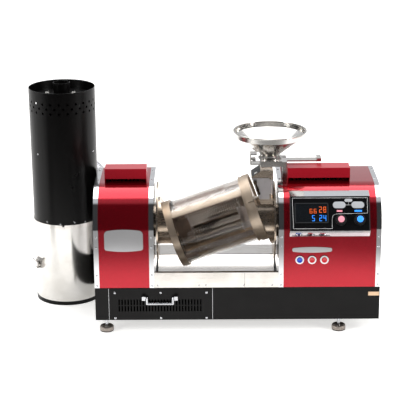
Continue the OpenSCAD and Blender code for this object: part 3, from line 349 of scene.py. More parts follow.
def smoothing_tree():
    tree = bpy.data.node_groups.new("weld_and_smooth", "GeometryNodeTree")
    socket(tree, "Geometry", "Geometry")
    socket(tree, "Weld Distance", "Float", value=WELD_M)
    socket(tree, "Sharp Angle", "Float", value=SHARP)
    socket(tree, "Geometry", "Geometry", "OUTPUT")
    given = add(tree, "NodeGroupInput")
    welded = add(tree, "GeometryNodeMergeByDistance",
                 {"Geometry": given.outputs[0], "Distance": given.outputs[1]})
    smooth = add(tree, "GeometryNodeSetShadeSmooth", {"Geometry": welded.outputs[0]},
                 domain="FACE")
    angle = add(tree, "GeometryNodeInputMeshEdgeAngle")
    sharp = add(tree, "FunctionNodeCompare", {0: angle.outputs[0], 1: given.outputs[2]},
                operation="GREATER_THAN")
    edges = add(tree, "GeometryNodeSetShadeSmooth",
                {"Geometry": smooth.outputs[0], "Selection": sharp.outputs[0],
                 "Shade Smooth": False}, domain="EDGE")
    add(tree, "NodeGroupOutput", {0: edges.outputs[0]})
    return tree


SMOOTHING = smoothing_tree()

SOLID_FINISHES = {
    "candy_red": ["left_shell", "right_shell"],
    "hood_red": ["vent_hoods"],
    "polished_band": ["left_outer_frame", "left_inner_frame", "right_inner_frame",
                      "right_outer_frame", "face_plates"],
    "polished_sheet": ["front_panel", "bay_tray", "hopper_bracket", "hopper_clamps",
                       "slide_gate", "collector_band", "chaff_filter", "collector_inlet",
                       "exhaust_outlet", "latch_base", "latch_lever"],
    "spun_steel": ["hopper", "collector_pot"],
    "drum_steel": ["elbow_left", "elbow_right", "inlet_flap"],
    "ring_steel": ["drum_ring_left", "drum_ring_right"],
    "screen_steel": ["screen_plate"],
    "satin_sheet": ["drum_door", "lifting_bars"],
    "dark_steel": ["paddle_comb", "door_latch", "heater_rods"],
    "powder_coat": ["base_shell", "louvre_panel", "collector_tube", "collector_deck",
                    "collector_base"],
    "chrome": ["console", "button_bezels"],
    "gloss_black": ["control_panel"],
    "smoked_window": ["display_window"],
    "drum_glass": ["glass_drum"],
    "foil": ["flex_duct"],
    "turned_metal": ["levelling_feet", "drum_pulley", "motor_pulley", "fan_impeller",
                     "trim_screws", "handle_posts", "bail_handle"],
    "casting": ["drum_bearings", "gearmotor", "fan_casing"],
    "belt_rubber": ["drive_belt"],
    "blue_lens": ["left_button"],
    "red_lens": ["middle_button", "right_button"],
    "black_abs": ["red_knob", "blue_knob", "cable_gland"],
}


def weld_and_shade(piece):
    piece.modifiers.new("weld_and_smooth", "NODES").node_group = SMOOTHING


for finish_name, solids in SOLID_FINISHES.items():
    for solid in solids:
        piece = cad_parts[solid]
        if not piece.material_slots:
            piece.data.materials.append(FINISHES[finish_name])
        for place in piece.material_slots:
            place.link = "OBJECT"
            place.material = FINISHES[finish_name]
        weld_and_shade(piece)
unfinished = set(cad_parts) - {s for solids in SOLID_FINISHES.values() for s in solids}
print("solids", len(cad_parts), "without a finish", unfinished)

# %% [markdown]
# New pieces are built as meshes that already lie in their place, with their object at the
# origin. A turned piece, such as a lens or a knob's cap, is a profile swept round an axis:
# it takes a list of (radius, height) pairs and a place with three directions. A sheet-metal
# piece is a block, which takes a corner and three directions.

# %% Helpers for new pieces
ACROSS, DEEP = Vector((1, 0, 0)), Vector((0, 1, 0))
OUTWARD, UPWARD = Vector((0, -1, 0)), Vector((0, 0, 1))
TOUCH_M = 0.000001             # points closer than this are in one plane


def keep(name, mesh, finish_name, body):
    """A finished mesh as a piece that rides a body."""
    mesh.materials.clear()
    mesh.materials.append(FINISHES[finish_name])
    piece = bpy.data.objects.new(name, mesh)
    bpy.context.scene.collection.objects.link(piece)
    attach(piece, body)
    return piece


def circle(steps):
    """Angles round a full turn."""
    return [2 * math.pi * i / steps for i in range(steps)]


def turned(mesh, place, out, profile, steps=32):
    """Adds a turned form to mesh. A radius of 0 in the profile closes it on the axis."""
    out = out.normalized()
    side = out.orthogonal().normalized()
    up = out.cross(side)
    rings = []
    for radius, height in profile:
        if radius == 0:
            rings.append([mesh.verts.new(place + out * height / 1000)])
            continue
        rings.append([mesh.verts.new(place + (out * height + side * radius * math.cos(a)
                                              + up * radius * math.sin(a)) / 1000)
                      for a in circle(steps)])
    for low, high in zip(rings, rings[1:]):
        for i in range(steps):
            j = (i + 1) % steps
            corners = [low[i % len(low)], low[j % len(low)],
                       high[j % len(high)], high[i % len(high)]]
            distinct = list(dict.fromkeys(corners))
            if len(distinct) > 2:
                mesh.faces.new(distinct).smooth = True


def close_end(mesh, place, out, height):
    """Fills the open end of a turned form, which lies at this height."""
    side = out.orthogonal().normalized()
    up = out.cross(side)
    end = [v for v in mesh.verts if abs((v.co - place).dot(out) - height / 1000) < TOUCH_M]
    mesh.faces.new(sorted(end, key=lambda v: math.atan2((v.co - place).dot(up),
                                                        (v.co - place).dot(side))))


def block(mesh, corner, along, up, out, width, height, depth):
    """Adds a rectangular block that starts at corner."""
    points = [corner + (along * width * a + up * height * b + out * depth * c) / 1000
              for c in (0, 1) for b in (0, 1) for a in (0, 1)]
    v = [mesh.verts.new(p) for p in points]
    for face in ((0, 2, 3, 1), (4, 5, 7, 6), (0, 1, 5, 4),
                 (2, 6, 7, 3), (0, 4, 6, 2), (1, 3, 7, 5)):
        mesh.faces.new([v[i] for i in face])


def as_mesh(name, made):
    """The built form as a mesh whose faces point outwards."""
    bmesh.ops.recalc_face_normals(made, faces=made.faces)
    mesh = bpy.data.meshes.new(name)
    made.to_mesh(mesh)
    made.free()
    return mesh


def slab(name, finish_name, body, corner, along, up, out, *size):
    """One block as a piece of its own."""
    made = bmesh.new()
    block(made, corner, along, up, out, *size)
    return keep(name, as_mesh(name, made), finish_name, body)


print("a full turn in quarters", [round(math.degrees(a)) for a in circle(4)])

# %% [markdown]
# The bands, the front sheet and the service panel are held by button-head screws with a
# hexagon socket. The same head repeats some forty times, so one head is turned once and a
# node tree puts a copy on each marked point, facing out of the sheet. Sizes go in through
# the tree's named inputs. The one head is a metre in radius, and the tree scales it down.

# %% One screw head
HEAD_PROFILE = [(1000, -100), (1000, 80), (960, 260), (860, 420), (700, 520), (560, 560)]
HEAD_STEPS, HEAD_TOP = 20, 0.56
SOCKET_R, SOCKET_TOP, SOCKET_FLOOR = 0.42, 0.54, 0.12


def screw_head():
    made = bmesh.new()
    turned(made, Vector((0, 0, 0)), UPWARD, HEAD_PROFILE, HEAD_STEPS)
    rim = [v for v in made.verts if abs(v.co.z - HEAD_TOP) < 1e-4]
    rim.sort(key=lambda v: math.atan2(v.co.y, v.co.x))
    mouth = [made.verts.new((SOCKET_R * math.cos(a - math.pi), SOCKET_R * math.sin(a - math.pi),
                             SOCKET_TOP)) for a in circle(6)]
    floor_ring = [made.verts.new((v.co.x, v.co.y, SOCKET_FLOOR)) for v in mouth]
    for i in range(6):
        j = (i + 1) % 6
        made.faces.new([mouth[i], mouth[j], floor_ring[j], floor_ring[i]])
    made.faces.new(floor_ring)
    for i in range(len(rim)):
        j = (i + 1) % len(rim)
        near = mouth[round(i * 6 / len(rim)) % 6]
        far = mouth[round(j * 6 / len(rim)) % 6]
        made.faces.new(list(dict.fromkeys([rim[i], rim[j], far, near])))
    return bpy.data.objects.new("screw_head", as_mesh("screw_head", made))


HEAD = screw_head()
print("faces on one head", len(HEAD.data.polygons))

# %% [markdown]
# The tree reads a direction that is stored on each point, turns the head to it, spins it by a
# random amount with a fixed seed, and ends as a plain mesh with its material.

# %% Screws on marked points
SPIN_SEED = 7


def screw_tree():
    tree = bpy.data.node_groups.new("screws_on_points", "GeometryNodeTree")
    socket(tree, "Geometry", "Geometry")
    socket(tree, "Head Radius", "Float", value=0.0034)
    socket(tree, "Head", "Object")
    socket(tree, "Finish", "Material")
    socket(tree, "Geometry", "Geometry", "OUTPUT")
    given = add(tree, "NodeGroupInput")
    facing = add(tree, "GeometryNodeInputNamedAttribute", {"Name": "facing"},
                 data_type="FLOAT_VECTOR")
    turned_to = add(tree, "FunctionNodeAlignRotationToVector",
                    {"Vector": facing.outputs["Attribute"]}, axis="Z")
    twist = add(tree, "FunctionNodeRandomValue", {"Min": 0.0, "Max": 1.0, "Seed": SPIN_SEED},
                data_type="FLOAT")
    spin = add(tree, "ShaderNodeCombineXYZ", {"Z": twist.outputs[1]})
    spun = add(tree, "FunctionNodeEulerToRotation", {0: spin.outputs[0]})
    both = add(tree, "FunctionNodeRotateRotation", {0: turned_to.outputs[0], 1: spun.outputs[0]},
               rotation_space="LOCAL")
    shape = add(tree, "GeometryNodeObjectInfo", {"Object": given.outputs[2]})
    heads = add(tree, "GeometryNodeInstanceOnPoints",
                {"Points": given.outputs[0], "Instance": shape.outputs["Geometry"],
                 "Rotation": both.outputs[0], "Scale": given.outputs[1]})
    real = add(tree, "GeometryNodeRealizeInstances", {0: heads.outputs[0]})
    done = add(tree, "GeometryNodeSetMaterial",
               {"Geometry": real.outputs[0], "Material": given.outputs[3]})
    add(tree, "NodeGroupOutput", {0: done.outputs[0]})
    return tree


SCREWS = screw_tree()


def screws(name, places, radius_mm, body):
    """Screw heads at (point, facing) places, as one plain mesh."""
    marks = bpy.data.meshes.new(name + "_marks")
    marks.from_pydata([p for p, _ in places], [], [])
    facing = marks.attributes.new("facing", "FLOAT_VECTOR", "POINT")
    for i, (_, out) in enumerate(places):
        facing.data[i].vector = out
    source = bpy.data.objects.new(name + "_marks", marks)
    bpy.context.scene.collection.objects.link(source)
    modifier = source.modifiers.new("screws", "NODES")
    modifier.node_group = SCREWS
    ids = {s.name: s.identifier for s in SCREWS.interface.items_tree if s.in_out == "INPUT"}
    modifier[ids["Head Radius"]] = radius_mm / 1000
    modifier[ids["Head"]] = HEAD
    modifier[ids["Finish"]] = FINISHES["turned_metal"]
    seen = bpy.context.evaluated_depsgraph_get()
    mesh = bpy.data.meshes.new_from_object(source.evaluated_get(seen))
    bpy.data.objects.remove(source)
    return keep(name, mesh, "turned_metal", body)


print("nodes in the screw tree", len(SCREWS.nodes))

# %% [markdown]
# The marks follow the sheets that the screws hold: four heights on each band, a row along
# the bay's front sheet, a pair on each band's crown, and six round the service panel.

# %% Screws on the housings and the base
FRONT, BASE_TOP, ARCH_TOP = -225.0, 173.0, 517.0
BANDS = [edge + 8.5 for edge in (-498, -306, 144, 481)]       # middles of the four bands
BAND_SCREW_R, PANEL_SCREW_R = 3.4, 4.4
SERVICE_PANEL_AT = (-449.5, 54)                               # its lower left corner

band_marks = [(mm(x, FRONT - 1, z), OUTWARD) for x in BANDS
              for z in (BASE_TOP + 8, BASE_TOP + 47, BASE_TOP + 185, 322)]
band_marks += [(mm(x, y, ARCH_TOP + 1), UPWARD) for x in BANDS for y in (-60, 60)]
band_marks += [(mm(x, FRONT, BASE_TOP + 8), OUTWARD) for x in (-277, -132.5, -108.5, 24, 122)]
small_screws = screws("band_screws", band_marks, BAND_SCREW_R, "machine")
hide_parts("trim_screws")
panel_marks = [(mm(SERVICE_PANEL_AT[0] + x, FRONT - 2, SERVICE_PANEL_AT[1] + z), OUTWARD)
               for x in (21, 182, 342) for z in (6, 101)]
screws("service_panel_screws", panel_marks, PANEL_SCREW_R, "machine")
print("screws", len(band_marks) + len(panel_marks))

# %% [markdown]
# The console's face leans back, so its pieces are placed with three directions of its own:
# along the face, up the face and out of it. Digits are built from seven bars each, the way a
# segment display makes them, so that each digit is a handful of small blocks.

# %% The console's own directions
LEAN = math.radians(27.4076)
UP_FACE = Vector((0, math.sin(LEAN), math.cos(LEAN)))
OUT_FACE = Vector((0, -math.cos(LEAN), math.sin(LEAN)))
CONSOLE_FOOT = mm(319, -246, 386)
ON_PANEL, ON_WINDOW, ON_MARK = 3.02, 4.05, 4.25     # just above each surface of the console


def on_face(u, v, w):
    """A point u along the console's face, v up it and w out of it."""
    return CONSOLE_FOOT + (ACROSS * u + UP_FACE * v + OUT_FACE * w) / 1000


SEGMENTS = {"0": "abcdef", "1": "bc", "2": "abged", "3": "abgcd", "4": "fgbc",
            "5": "afgcd", "6": "afgedc", "7": "abc", "8": "abcdefg", "9": "abcfgd"}
DIGIT_PITCH, BAR_GAP, BAR_DEPTH = 1.5, 0.15, 0.25   # in digit widths, bar widths and mm


def digits(name, number, u, v, wide, tall, thick, finish_name):
    """A row of seven-segment digits whose lower left corner is at (u, v) on the console."""
    made = bmesh.new()
    half = tall / 2
    bars = {"a": (0, tall - thick, wide, thick), "g": (0, half - thick / 2, wide, thick),
            "d": (0, 0, wide, thick), "f": (0, half, thick, half),
            "b": (wide - thick, half, thick, half), "e": (0, 0, thick, half),
            "c": (wide - thick, 0, thick, half)}
    inset = thick * BAR_GAP
    for i, figure in enumerate(number):
        for bar in SEGMENTS[figure]:
            x, y, w, h = bars[bar]
            corner = on_face(u + i * wide * DIGIT_PITCH + x + inset, v + y + inset, ON_WINDOW)
            block(made, corner, ACROSS, UP_FACE, OUT_FACE, w - 2 * inset, h - 2 * inset,
                  BAR_DEPTH)
    return keep(name, as_mesh(name, made), finish_name, "machine")


digits("set_temperature", "66", -70, 61, 9.5, 16, 2.1, "orange_light")
digits("bean_temperature", "28", -37, 63.5, 9.5, 21, 2.3, "orange_light")
digits("fan_level", "5", -62, 34, 9.5, 21, 2.3, "blue_light")
digits("roast_time", "24", -37, 34, 9.5, 21, 2.3, "blue_light")
print("digits on a face that leans", round(math.degrees(LEAN), 1), "degrees")

# %% [markdown]
# The panel's print is one thin line that frames the display and steps round the knobs, and
# three pale ovals joined by a finer line. A line is drawn as a chain of short flat bars.

# %% Print on the panel, and the display's frame
PRINT_DEPTH, FRAME_LINE, JOINING_LINE = 0.18, 1.0, 0.8


def line_on_face(mesh, points, wide):
    """A flat bar from each point to the next; points are (u, v) on the console's face."""
    for (u0, v0), (u1, v1) in zip(points, points[1:]):
        run = Vector((u1 - u0, v1 - v0))
        step = run.normalized()
        along = ACROSS * step.x + UP_FACE * step.y
        across = UP_FACE * step.x - ACROSS * step.y
        corner = on_face(u0, v0, ON_PANEL) - (along + across) * wide / 2000
        block(mesh, corner, along, across, OUT_FACE, run.length + wide, wide, PRINT_DEPTH)


def oval_on_face(mesh, u, v, wide, tall, low, high, steps=20):
    """A flat plate with round ends, centred at (u, v)."""
    radius, reach = tall / 2, (wide - tall) / 2
    rim = []
    for end, start in ((1, 0), (-1, math.pi)):
        for i in range(steps + 1):
            a = math.pi * (i / steps - 0.5) + start
            rim.append((u + end * reach + radius * math.cos(a), v + radius * math.sin(a)))
    lower, upper = [[mesh.verts.new(on_face(x, y, w)) for x, y in rim] for w in (low, high)]
    mesh.faces.new(lower)
    mesh.faces.new(upper)
    for i in range(len(rim)):
        j = (i + 1) % len(rim)
        mesh.faces.new([lower[i], lower[j], upper[j], upper[i]])


made = bmesh.new()
round_knob = [(7 + 16 * (1 - math.cos(a)), 42 + 17 * math.sin(a))
              for a in [math.pi / 12 * i for i in range(7)]]
line_on_face(made, [(-129, 115), (129, 115), (129, 61), (23, 59)], FRAME_LINE)
line_on_face(made, round_knob, FRAME_LINE)
line_on_face(made, [(7, 42), (7, 8), (-126, 8), (-129, 115)], FRAME_LINE)
line_on_face(made, [(54, 90), (74, 90)], JOINING_LINE)
line_on_face(made, [(64, 90), (64, 101)], JOINING_LINE)
keep("panel_print", as_mesh("panel_print", made), "print_white", "machine")

OVALS = ((32, 90, 44, 23), (96, 90, 44, 23), (64, 106, 27, 10))       # u, v, width, height
OVAL_DEPTH = 0.2
made = bmesh.new()
for oval in OVALS:
    oval_on_face(made, *oval, ON_MARK, ON_MARK + OVAL_DEPTH)
keep("oval_marks", as_mesh("oval_marks", made), "print_grey", "machine")

left, foot, wide, tall, bar, depth = -121.5, 27.5, 116, 70, 3, 2.2
made = bmesh.new()
for u, v, bar_wide, bar_tall in ((left, foot, wide, bar), (left, foot + tall - bar, wide, bar),
                                 (left, foot, bar, tall), (left + wide - bar, foot, bar, tall)):
    block(made, on_face(u, v, ON_PANEL + 0.03), ACROSS, UP_FACE, OUT_FACE, bar_wide, bar_tall,
          depth)
keep("display_frame", as_mesh("display_frame", made), "chrome", "machine")
print("ovals", len(OVALS))

# %% [markdown]
# Under each pair of ovals is a small lamp behind a window, pink on the left for heat and blue
# on the right for air. Each is a thin lit plate that is centred on its place.

# %% Lit windows beside the display
WINDOW_DEPTH = 0.2


def lit_window(name, u, v, wide, tall, finish_name):
    slab(name, finish_name, "machine", on_face(u - wide / 2, v - tall / 2, ON_MARK),
         ACROSS, UP_FACE, OUT_FACE, wide, tall, WINDOW_DEPTH)


lit_window("pink_window", 33, 69, 19, 6, "pink_light")
lit_window("blue_window", 97, 69, 25, 6, "blue_light")
print("lit windows at", on_face(33, 69, ON_MARK), on_face(97, 69, ON_MARK))

# %% [markdown]
# Small things on the sheets: a plain peach tag at the base's right end, the joint between the
# two halves of the bay's front sheet, and a painted highlight down each side edge of the
# service panel, a thin light metal strip. Each is a thin block that stands on its sheet.

# %% The tag, the joint and the painted highlights on the panel's edges
ON_SHEET = FRONT - 0.05
slab("plain_tag", "peach_tag", "machine", mm(458, ON_SHEET, 140),
     ACROSS, UPWARD, OUTWARD, 38, 14, 0.5)
slab("sheet_joint", "black_abs", "machine", mm(25.6, ON_SHEET, BASE_TOP + 1),
     ACROSS, UPWARD, OUTWARD, 0.9, 53, 0.15)
# painted highlights: a thin light metal strip down each side edge of the service panel
made = bmesh.new()
for x in (-450.4, -87.0):
    block(made, mm(x, ON_SHEET, SERVICE_PANEL_AT[1]), ACROSS, UPWARD, OUTWARD, 1.0, 117, 2.1)
keep("service_panel_edges", as_mesh("service_panel_edges", made), "turned_metal", "machine")
print("small sheet pieces", 3)

# %% [markdown]
# The buttons are 22 mm panel buttons: a chromed bezel round a clear coloured lens whose rim
# is rounded and whose face is slightly hollow. The knobs' caps are thin turned discs that
# carry the colour of what they set, red for heat and blue for air.

# %% Button lenses and knob caps
BUTTON_HEIGHT, LENS_BACK = 274.5, -14
LENS_PROFILE = [(10, LENS_BACK), (10, -6), (10, 6.0), (9.7, 6.8), (9.0, 7.2),
                (7.6, 7.0), (4.0, 6.5), (0, 6.3)]
for node_name, body, x, finish_name, slot in (
        ("left_button", "button_blue", 216.7, "blue_lens", "blue_plastic"),
        ("middle_button", "button_red_1", 259.5, "red_lens", "red_plastic"),
        ("right_button", "button_red_2", 302.3, "red_lens", "red_plastic")):
    made = bmesh.new()
    place = mm(x, FRONT, BUTTON_HEIGHT)
    turned(made, place, OUTWARD, LENS_PROFILE, 48)
    close_end(made, place, OUTWARD, LENS_BACK)
    lens_piece = keep(node_name + "_lens", as_mesh(node_name, made), finish_name, body)
    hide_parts(node_name)

CAP_PROFILE = [(11, 0), (11, 1.0), (10.4, 1.6), (5, 1.9), (0, 2.0)]
KNOB_HEIGHT, KNOB_FACE = 38, 21.3
for body, u, finish_name in (("knob_red", 37, "pink_light"), ("knob_blue", 102, "blue_light")):
    made = bmesh.new()
    place = on_face(u, KNOB_HEIGHT, KNOB_FACE)
    turned(made, place, OUT_FACE, CAP_PROFILE, 40)
    close_end(made, place, OUT_FACE, 0)
    keep(body + "_cap", as_mesh(body + "_cap", made), finish_name, body)
print("lenses and caps at", BUTTON_HEIGHT, "mm and on the console")

# %% [markdown]
# Each foot is a bun-shaped pad with a dished top on a rubber sole, and a threaded stem with a
# round lock nut. The pads replace the plain solids of the frame.

# %% Levelling feet
SOLE = [(0, 0), (22.5, 0), (24.3, 0.8), (24.6, 3), (0, 3)]
PAD = [(0, 3), (23.6, 3), (24.8, 5), (25, 9), (24.9, 14), (24, 17.4), (22, 19.2),
       (19.5, 19.6), (18, 18.6), (12, 16.6), (0, 16.2)]
STEM = [(0, 16.4), (6, 16.4), (6, 42.6), (10.6, 43), (10.6, 49), (6, 49.4), (6, 51.9),
        (0, 51.9)]
FOOT_PLACES = [(x, y) for x in (-462, 360) for y in (-191, 191)]
for part_name, profile, finish_name in (("foot_pads", PAD, "foot_pad"),
                                        ("foot_soles", SOLE, "black_abs"),
                                        ("foot_stems", STEM, "turned_metal")):
    made = bmesh.new()
    for x, y in FOOT_PLACES:
        turned(made, mm(x, y, 0), UPWARD, profile, 40)
    piece = keep(part_name, as_mesh(part_name, made), finish_name, "machine")
    weld_and_shade(piece)
    if part_name == "foot_pads":
        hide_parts("levelling_feet")
print("feet", len(FOOT_PLACES))

# %% [markdown]
# The drum has directions of its own, turned 19 degrees from level. A piece in it is placed by
# its run along the drum (s), its height above the drum's middle line (w) and its depth (y).
# Thin sheet strips lie against the glass, which is 112 mm in radius inside: in the front half
# they are a brown and a cream one above and a tan one below, and the back half has its own.

# %% Strips inside the drum
TILT = math.radians(19)
ALONG_DRUM = Vector((math.cos(TILT), 0, math.sin(TILT)))
ACROSS_DRUM = Vector((-math.sin(TILT), 0, math.cos(TILT)))
DRUM_MIDDLE = mm(-72.5, 0, 347)
STRIP_IN, STRIP_OUT = 111.75, 111.95


def in_drum(s, y, w):
    """A point s along the drum, y deep and w above the drum's middle line."""
    return DRUM_MIDDLE + (ALONG_DRUM * s + ACROSS_DRUM * w + Vector((0, y, 0))) / 1000


def drum_strip(mesh, s0, s1, a0, a1, steps=12):
    """A thin curved sheet against the glass, from angle a0 to a1; 0 is up and 90 is the front."""
    rows = []
    for i in range(steps + 1):
        a = math.radians(a0 + (a1 - a0) * i / steps)
        rows.append([mesh.verts.new(in_drum(s, -r * math.sin(a), r * math.cos(a)))
                     for s, r in ((s0, STRIP_IN), (s1, STRIP_IN),
                                  (s1, STRIP_OUT), (s0, STRIP_OUT))])
    for near, far in zip(rows, rows[1:]):
        for i in range(4):
            j = (i + 1) % 4
            mesh.faces.new([near[i], near[j], far[j], far[i]]).smooth = False
    mesh.faces.new(rows[0])
    mesh.faces.new(rows[-1])


# name, finish, and for each strip its two ends and its two angles
for name, finish_name, bands in (
        ("cream_strips", "cream_strip", [(-140, 140, 27, 43.5), (-136, -96, 138, 164)]),
        ("brown_strips", "brown_strip",
         [(-118, 70, 4, 26.5), (-136, 118, 176, 208), (-80, 118, 112, 126)]),
        ("tan_strips", "tan_strip", [(-94, 130, 126.5, 148), (-136, 118, 208.5, 238)])):
    made = bmesh.new()
    for band in bands:
        drum_strip(made, *band)
    keep(name, as_mesh(name, made), finish_name, "drum")
print("strips against the glass", STRIP_IN, "to", STRIP_OUT)

# %% [markdown]
# The perforated sheet is drawn with the small close holes of the real one. A constrained
# triangulation fills the rectangle round the holes' rims; the flat result is doubled, and
# walls join the two copies at every rim, so the sheet is a closed solid.

# %% The perforated sheet
def holed_sheet(mesh, spot, wide, tall, thick, centres, hole_r, corners=12):
    """A sheet with round holes. spot(u, v, t) is a point of it at depth t."""
    flat = [Vector((u * wide / 2, v * tall / 2)) for u, v in ((-1, -1), (1, -1), (1, 1), (-1, 1))]
    loops = [list(range(4))]
    for u, v in centres:
        loops.append(list(range(len(flat), len(flat) + corners)))
        flat += [Vector((u + hole_r * math.cos(a), v + hole_r * math.sin(a)))
                 for a in circle(corners)]
    points, _, faces, _, _, owners = delaunay_2d_cdt(flat, [], loops, 1, 1e-5)
    # a face that belongs to the rectangle and to no hole is sheet
    solid = [list(face) for face, owner in zip(faces, owners) if len(owner) == 1]
    front, rear = [[mesh.verts.new(spot(p.x, p.y, t)) for p in points] for t in (0, thick)]
    sides = {}
    for face in solid:
        mesh.faces.new([front[i] for i in face])
        mesh.faces.new([rear[i] for i in reversed(face)])
        for i, j in zip(face, face[1:] + face[:1]):
            sides[(i, j)] = True
    # an edge that only one face uses is a rim, and gets a wall
    for i, j in sides:
        if (j, i) not in sides:
            mesh.faces.new([front[i], front[j], rear[j], rear[i]])
    for v in [v for v in mesh.verts if not v.link_faces]:
        mesh.verts.remove(v)


HOLE_PITCH, HOLE_R, HOLE_ROWS, HOLE_COLUMNS = 8.5, 1.5, 14, 22
ROW_STEP = 0.866 * HOLE_PITCH            # rows of a close pattern stand nearer than columns
INSIDE_HALF, SHEET_TALL, SHEET_THICK, SHEET_DEPTH = 149.7, 135.4, 1.5, 72
hole_centres = [((column - (HOLE_COLUMNS - 1) / 2 + (row % 2) / 2) * HOLE_PITCH,
                 (row - (HOLE_ROWS - 1) / 2) * ROW_STEP)
                for row in range(HOLE_ROWS) for column in range(HOLE_COLUMNS)]
made = bmesh.new()
holed_sheet(made, lambda u, v, t: in_drum(u, SHEET_DEPTH + t, v), 2 * INSIDE_HALF, SHEET_TALL,
            SHEET_THICK, hole_centres, HOLE_R)
screen = keep("screen_sheet", as_mesh("screen_sheet", made), "screen_steel", "drum")
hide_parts("screen_plate")
print("holes", len(hole_centres))

# %% [markdown]
# Four flat bars lie along the glass. The one at the upper front is cut down to a narrow rib
# and reads as a thin dark line; the other three are the frame's own height.

# %% Bars along the drum
BAR_OUT, BAR_THICK = 111.7, 2.5
NARROW_BAR_IN, BAR_IN = 108.5, 93.7
made = bmesh.new()
for degrees, inner in ((45, NARROW_BAR_IN), (135, BAR_IN), (225, BAR_IN), (315, BAR_IN)):
    sine, cosine = math.sin(math.radians(degrees)), math.cos(math.radians(degrees))
    outward = Vector((0, -sine, 0)) + ACROSS_DRUM * cosine
    flat_to = Vector((0, -cosine, 0)) - ACROSS_DRUM * sine
    corner = in_drum(-INSIDE_HALF, 0, 0) + (outward * inner - flat_to * BAR_THICK / 2) / 1000
    block(made, corner, ALONG_DRUM, outward, flat_to, 2 * INSIDE_HALF, BAR_OUT - inner,
          BAR_THICK)
bars = keep("lifting_bars_shown", as_mesh("lifting_bars_shown", made), "brown_strip", "drum")
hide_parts("lifting_bars")
print("narrow bar", BAR_OUT - NARROW_BAR_IN, "mm, the others", BAR_OUT - BAR_IN, "mm")

# %% [markdown]
# A bracket plate with a folded edge holds each end of the comb. The left one has two small
# tabs as well, below and above. All are blocks on the drum's own directions.

# %% Bracket plates
# name, finish, start along the drum, start in height, run, height, start in depth, depth
for name, finish_name, s, w, run, tall, y, deep in (
        ("bracket_right", "pale_plate", 87.7, -60, 62, 80, -14.8, 2.5),
        ("bracket_right_fold", "pale_plate", 87.7, -60, 2.5, 80, -28.8, 13.9),
        ("bracket_left", "brown_strip", -149.7, -20, 62, 80, -14.8, 2.5),
        ("bracket_left_fold", "pale_plate", -90.2, -20, 2.5, 80, -28.8, 13.9),
        ("bracket_left_foot", "pale_plate", -112, -20, 21.7, 12, -17.5, 2.6),
        ("bracket_left_head", "pale_plate", -100, 48, 9.7, 12, -17.5, 2.6)):
    slab(name, finish_name, "drum", in_drum(s, y, w), ALONG_DRUM, ACROSS_DRUM, DEEP,
         run, tall, deep)
print("bracket plates start at", in_drum(87.7, -14.8, -60))

# %% [markdown]
# The spout's sloping corner carries a black gasket strip with a pale latch block on it. Both
# are blocks on the slope's own directions, one along it and one out of it.

# %% Gasket strip on the spout
SLOPE_ALONG, SLOPE_OUT = Vector((0.8258, 0, 0.5640)), Vector((-0.5640, 0, 0.8258))
SLOPE_FOOT = mm(53.36, -42, 519)
strip_at = SLOPE_FOOT + (SLOPE_ALONG * 3 - SLOPE_OUT * 0.05) / 1000
slab("gasket_strip", "silicone", "drum", strip_at, SLOPE_ALONG, DEEP, SLOPE_OUT, 36, 84, 0.8)
latch_at = strip_at + (SLOPE_ALONG * 13 + DEEP * 4 + SLOPE_OUT * 0.7) / 1000
slab("gasket_latch", "white_glaze_and_glint", "drum", latch_at, SLOPE_ALONG, DEEP, SLOPE_OUT,
     10, 12, 2.2)
print("slope", round(math.degrees(math.atan2(SLOPE_ALONG.z, SLOPE_ALONG.x)), 1), "degrees")

# %% [markdown]
# Three white crosses of two bars each stand on the deck in the collector's mouth: painted
# glints. Two screws sit half way up the tube, and four more just above its lower edge.

# %% Painted glints and screws on the collector
COLLECTOR_X, COLLECTOR_Y, TUBE_R = -629.5, 167, 120.2
DECK_TOP = 773.05
GLINT_REACH, GLINT_WIDE, GLINT_TALL, GLINT_SECOND_TALL = 16, 3.2, 9, 8.6
DIAGONAL, CROSSWISE = Vector((0.7071, 0.7071, 0)), Vector((-0.7071, 0.7071, 0))
# each painted glint is a cross of two white bars standing on the deck
made = bmesh.new()
for x, y in ((-684, 178), (-588, 176), (-596, 146)):
    for along, across, tall in ((DIAGONAL, CROSSWISE, GLINT_TALL),
                                (CROSSWISE, -DIAGONAL, GLINT_SECOND_TALL)):
        corner = mm(x, y, DECK_TOP) - (along * GLINT_REACH + across * GLINT_WIDE) / 2000
        block(made, corner, along, across, UPWARD, GLINT_REACH, GLINT_WIDE, tall)
keep("deck_nuts", as_mesh("deck_nuts", made), "white_glaze_and_glint", "machine")

tube_marks = []
for degrees, height in ((-135, 574), (-23, 574), (-120, 322), (-95, 318), (-70, 322), (-50, 318)):
    out = Vector((math.cos(math.radians(degrees)), math.sin(math.radians(degrees)), 0))
    tube_marks.append((mm(COLLECTOR_X, COLLECTOR_Y, height) + out * TUBE_R / 1000, out))
screws("collector_screws", tube_marks, 3.2, "machine")
print("screws on the tube", len(tube_marks))

# %% [markdown]
# The floor is a light table: white paper that also glows a little, so that it stays white far
# behind the machine. Just in front its glow fades and it greys, a painted shade, and the
# paper ends at two metres. Beyond it the studio is dark, up to a large soft box overhead,
# and the back of the room is white. A sheet that stands upright mirrors the table, a shoulder
# mirrors the dark room, and a crown mirrors the soft box. That contrast of light, dark and
# light again is what makes sheet metal look polished.

# %% The lit floor
FLOOR_CORNERS = [(-20, -2.0, 0), (20, -2.0, 0), (20, 40, 0), (-20, 40, 0)]       # metres
GLOW, PAPER_MM = 0.62, 400


def flat_sheet(name, corners, material):
    """A flat four-cornered sheet that belongs to the studio and not to the machine."""
    mesh = bpy.data.meshes.new(name)
    mesh.from_pydata(corners, [], [(0, 1, 2, 3)])
    mesh.materials.append(material)
    sheet = bpy.data.objects.new(name, mesh)
    bpy.context.scene.collection.objects.link(sheet)


def fade(tree, source, start, end, low, high):
    """A value that eases from low to high as source goes from start to end."""
    return add(tree, "ShaderNodeMapRange",
               {"Value": source, "From Min": start, "From Max": end, "To Min": low,
                "To Max": high}, interpolation_type="SMOOTHSTEP").outputs[0]


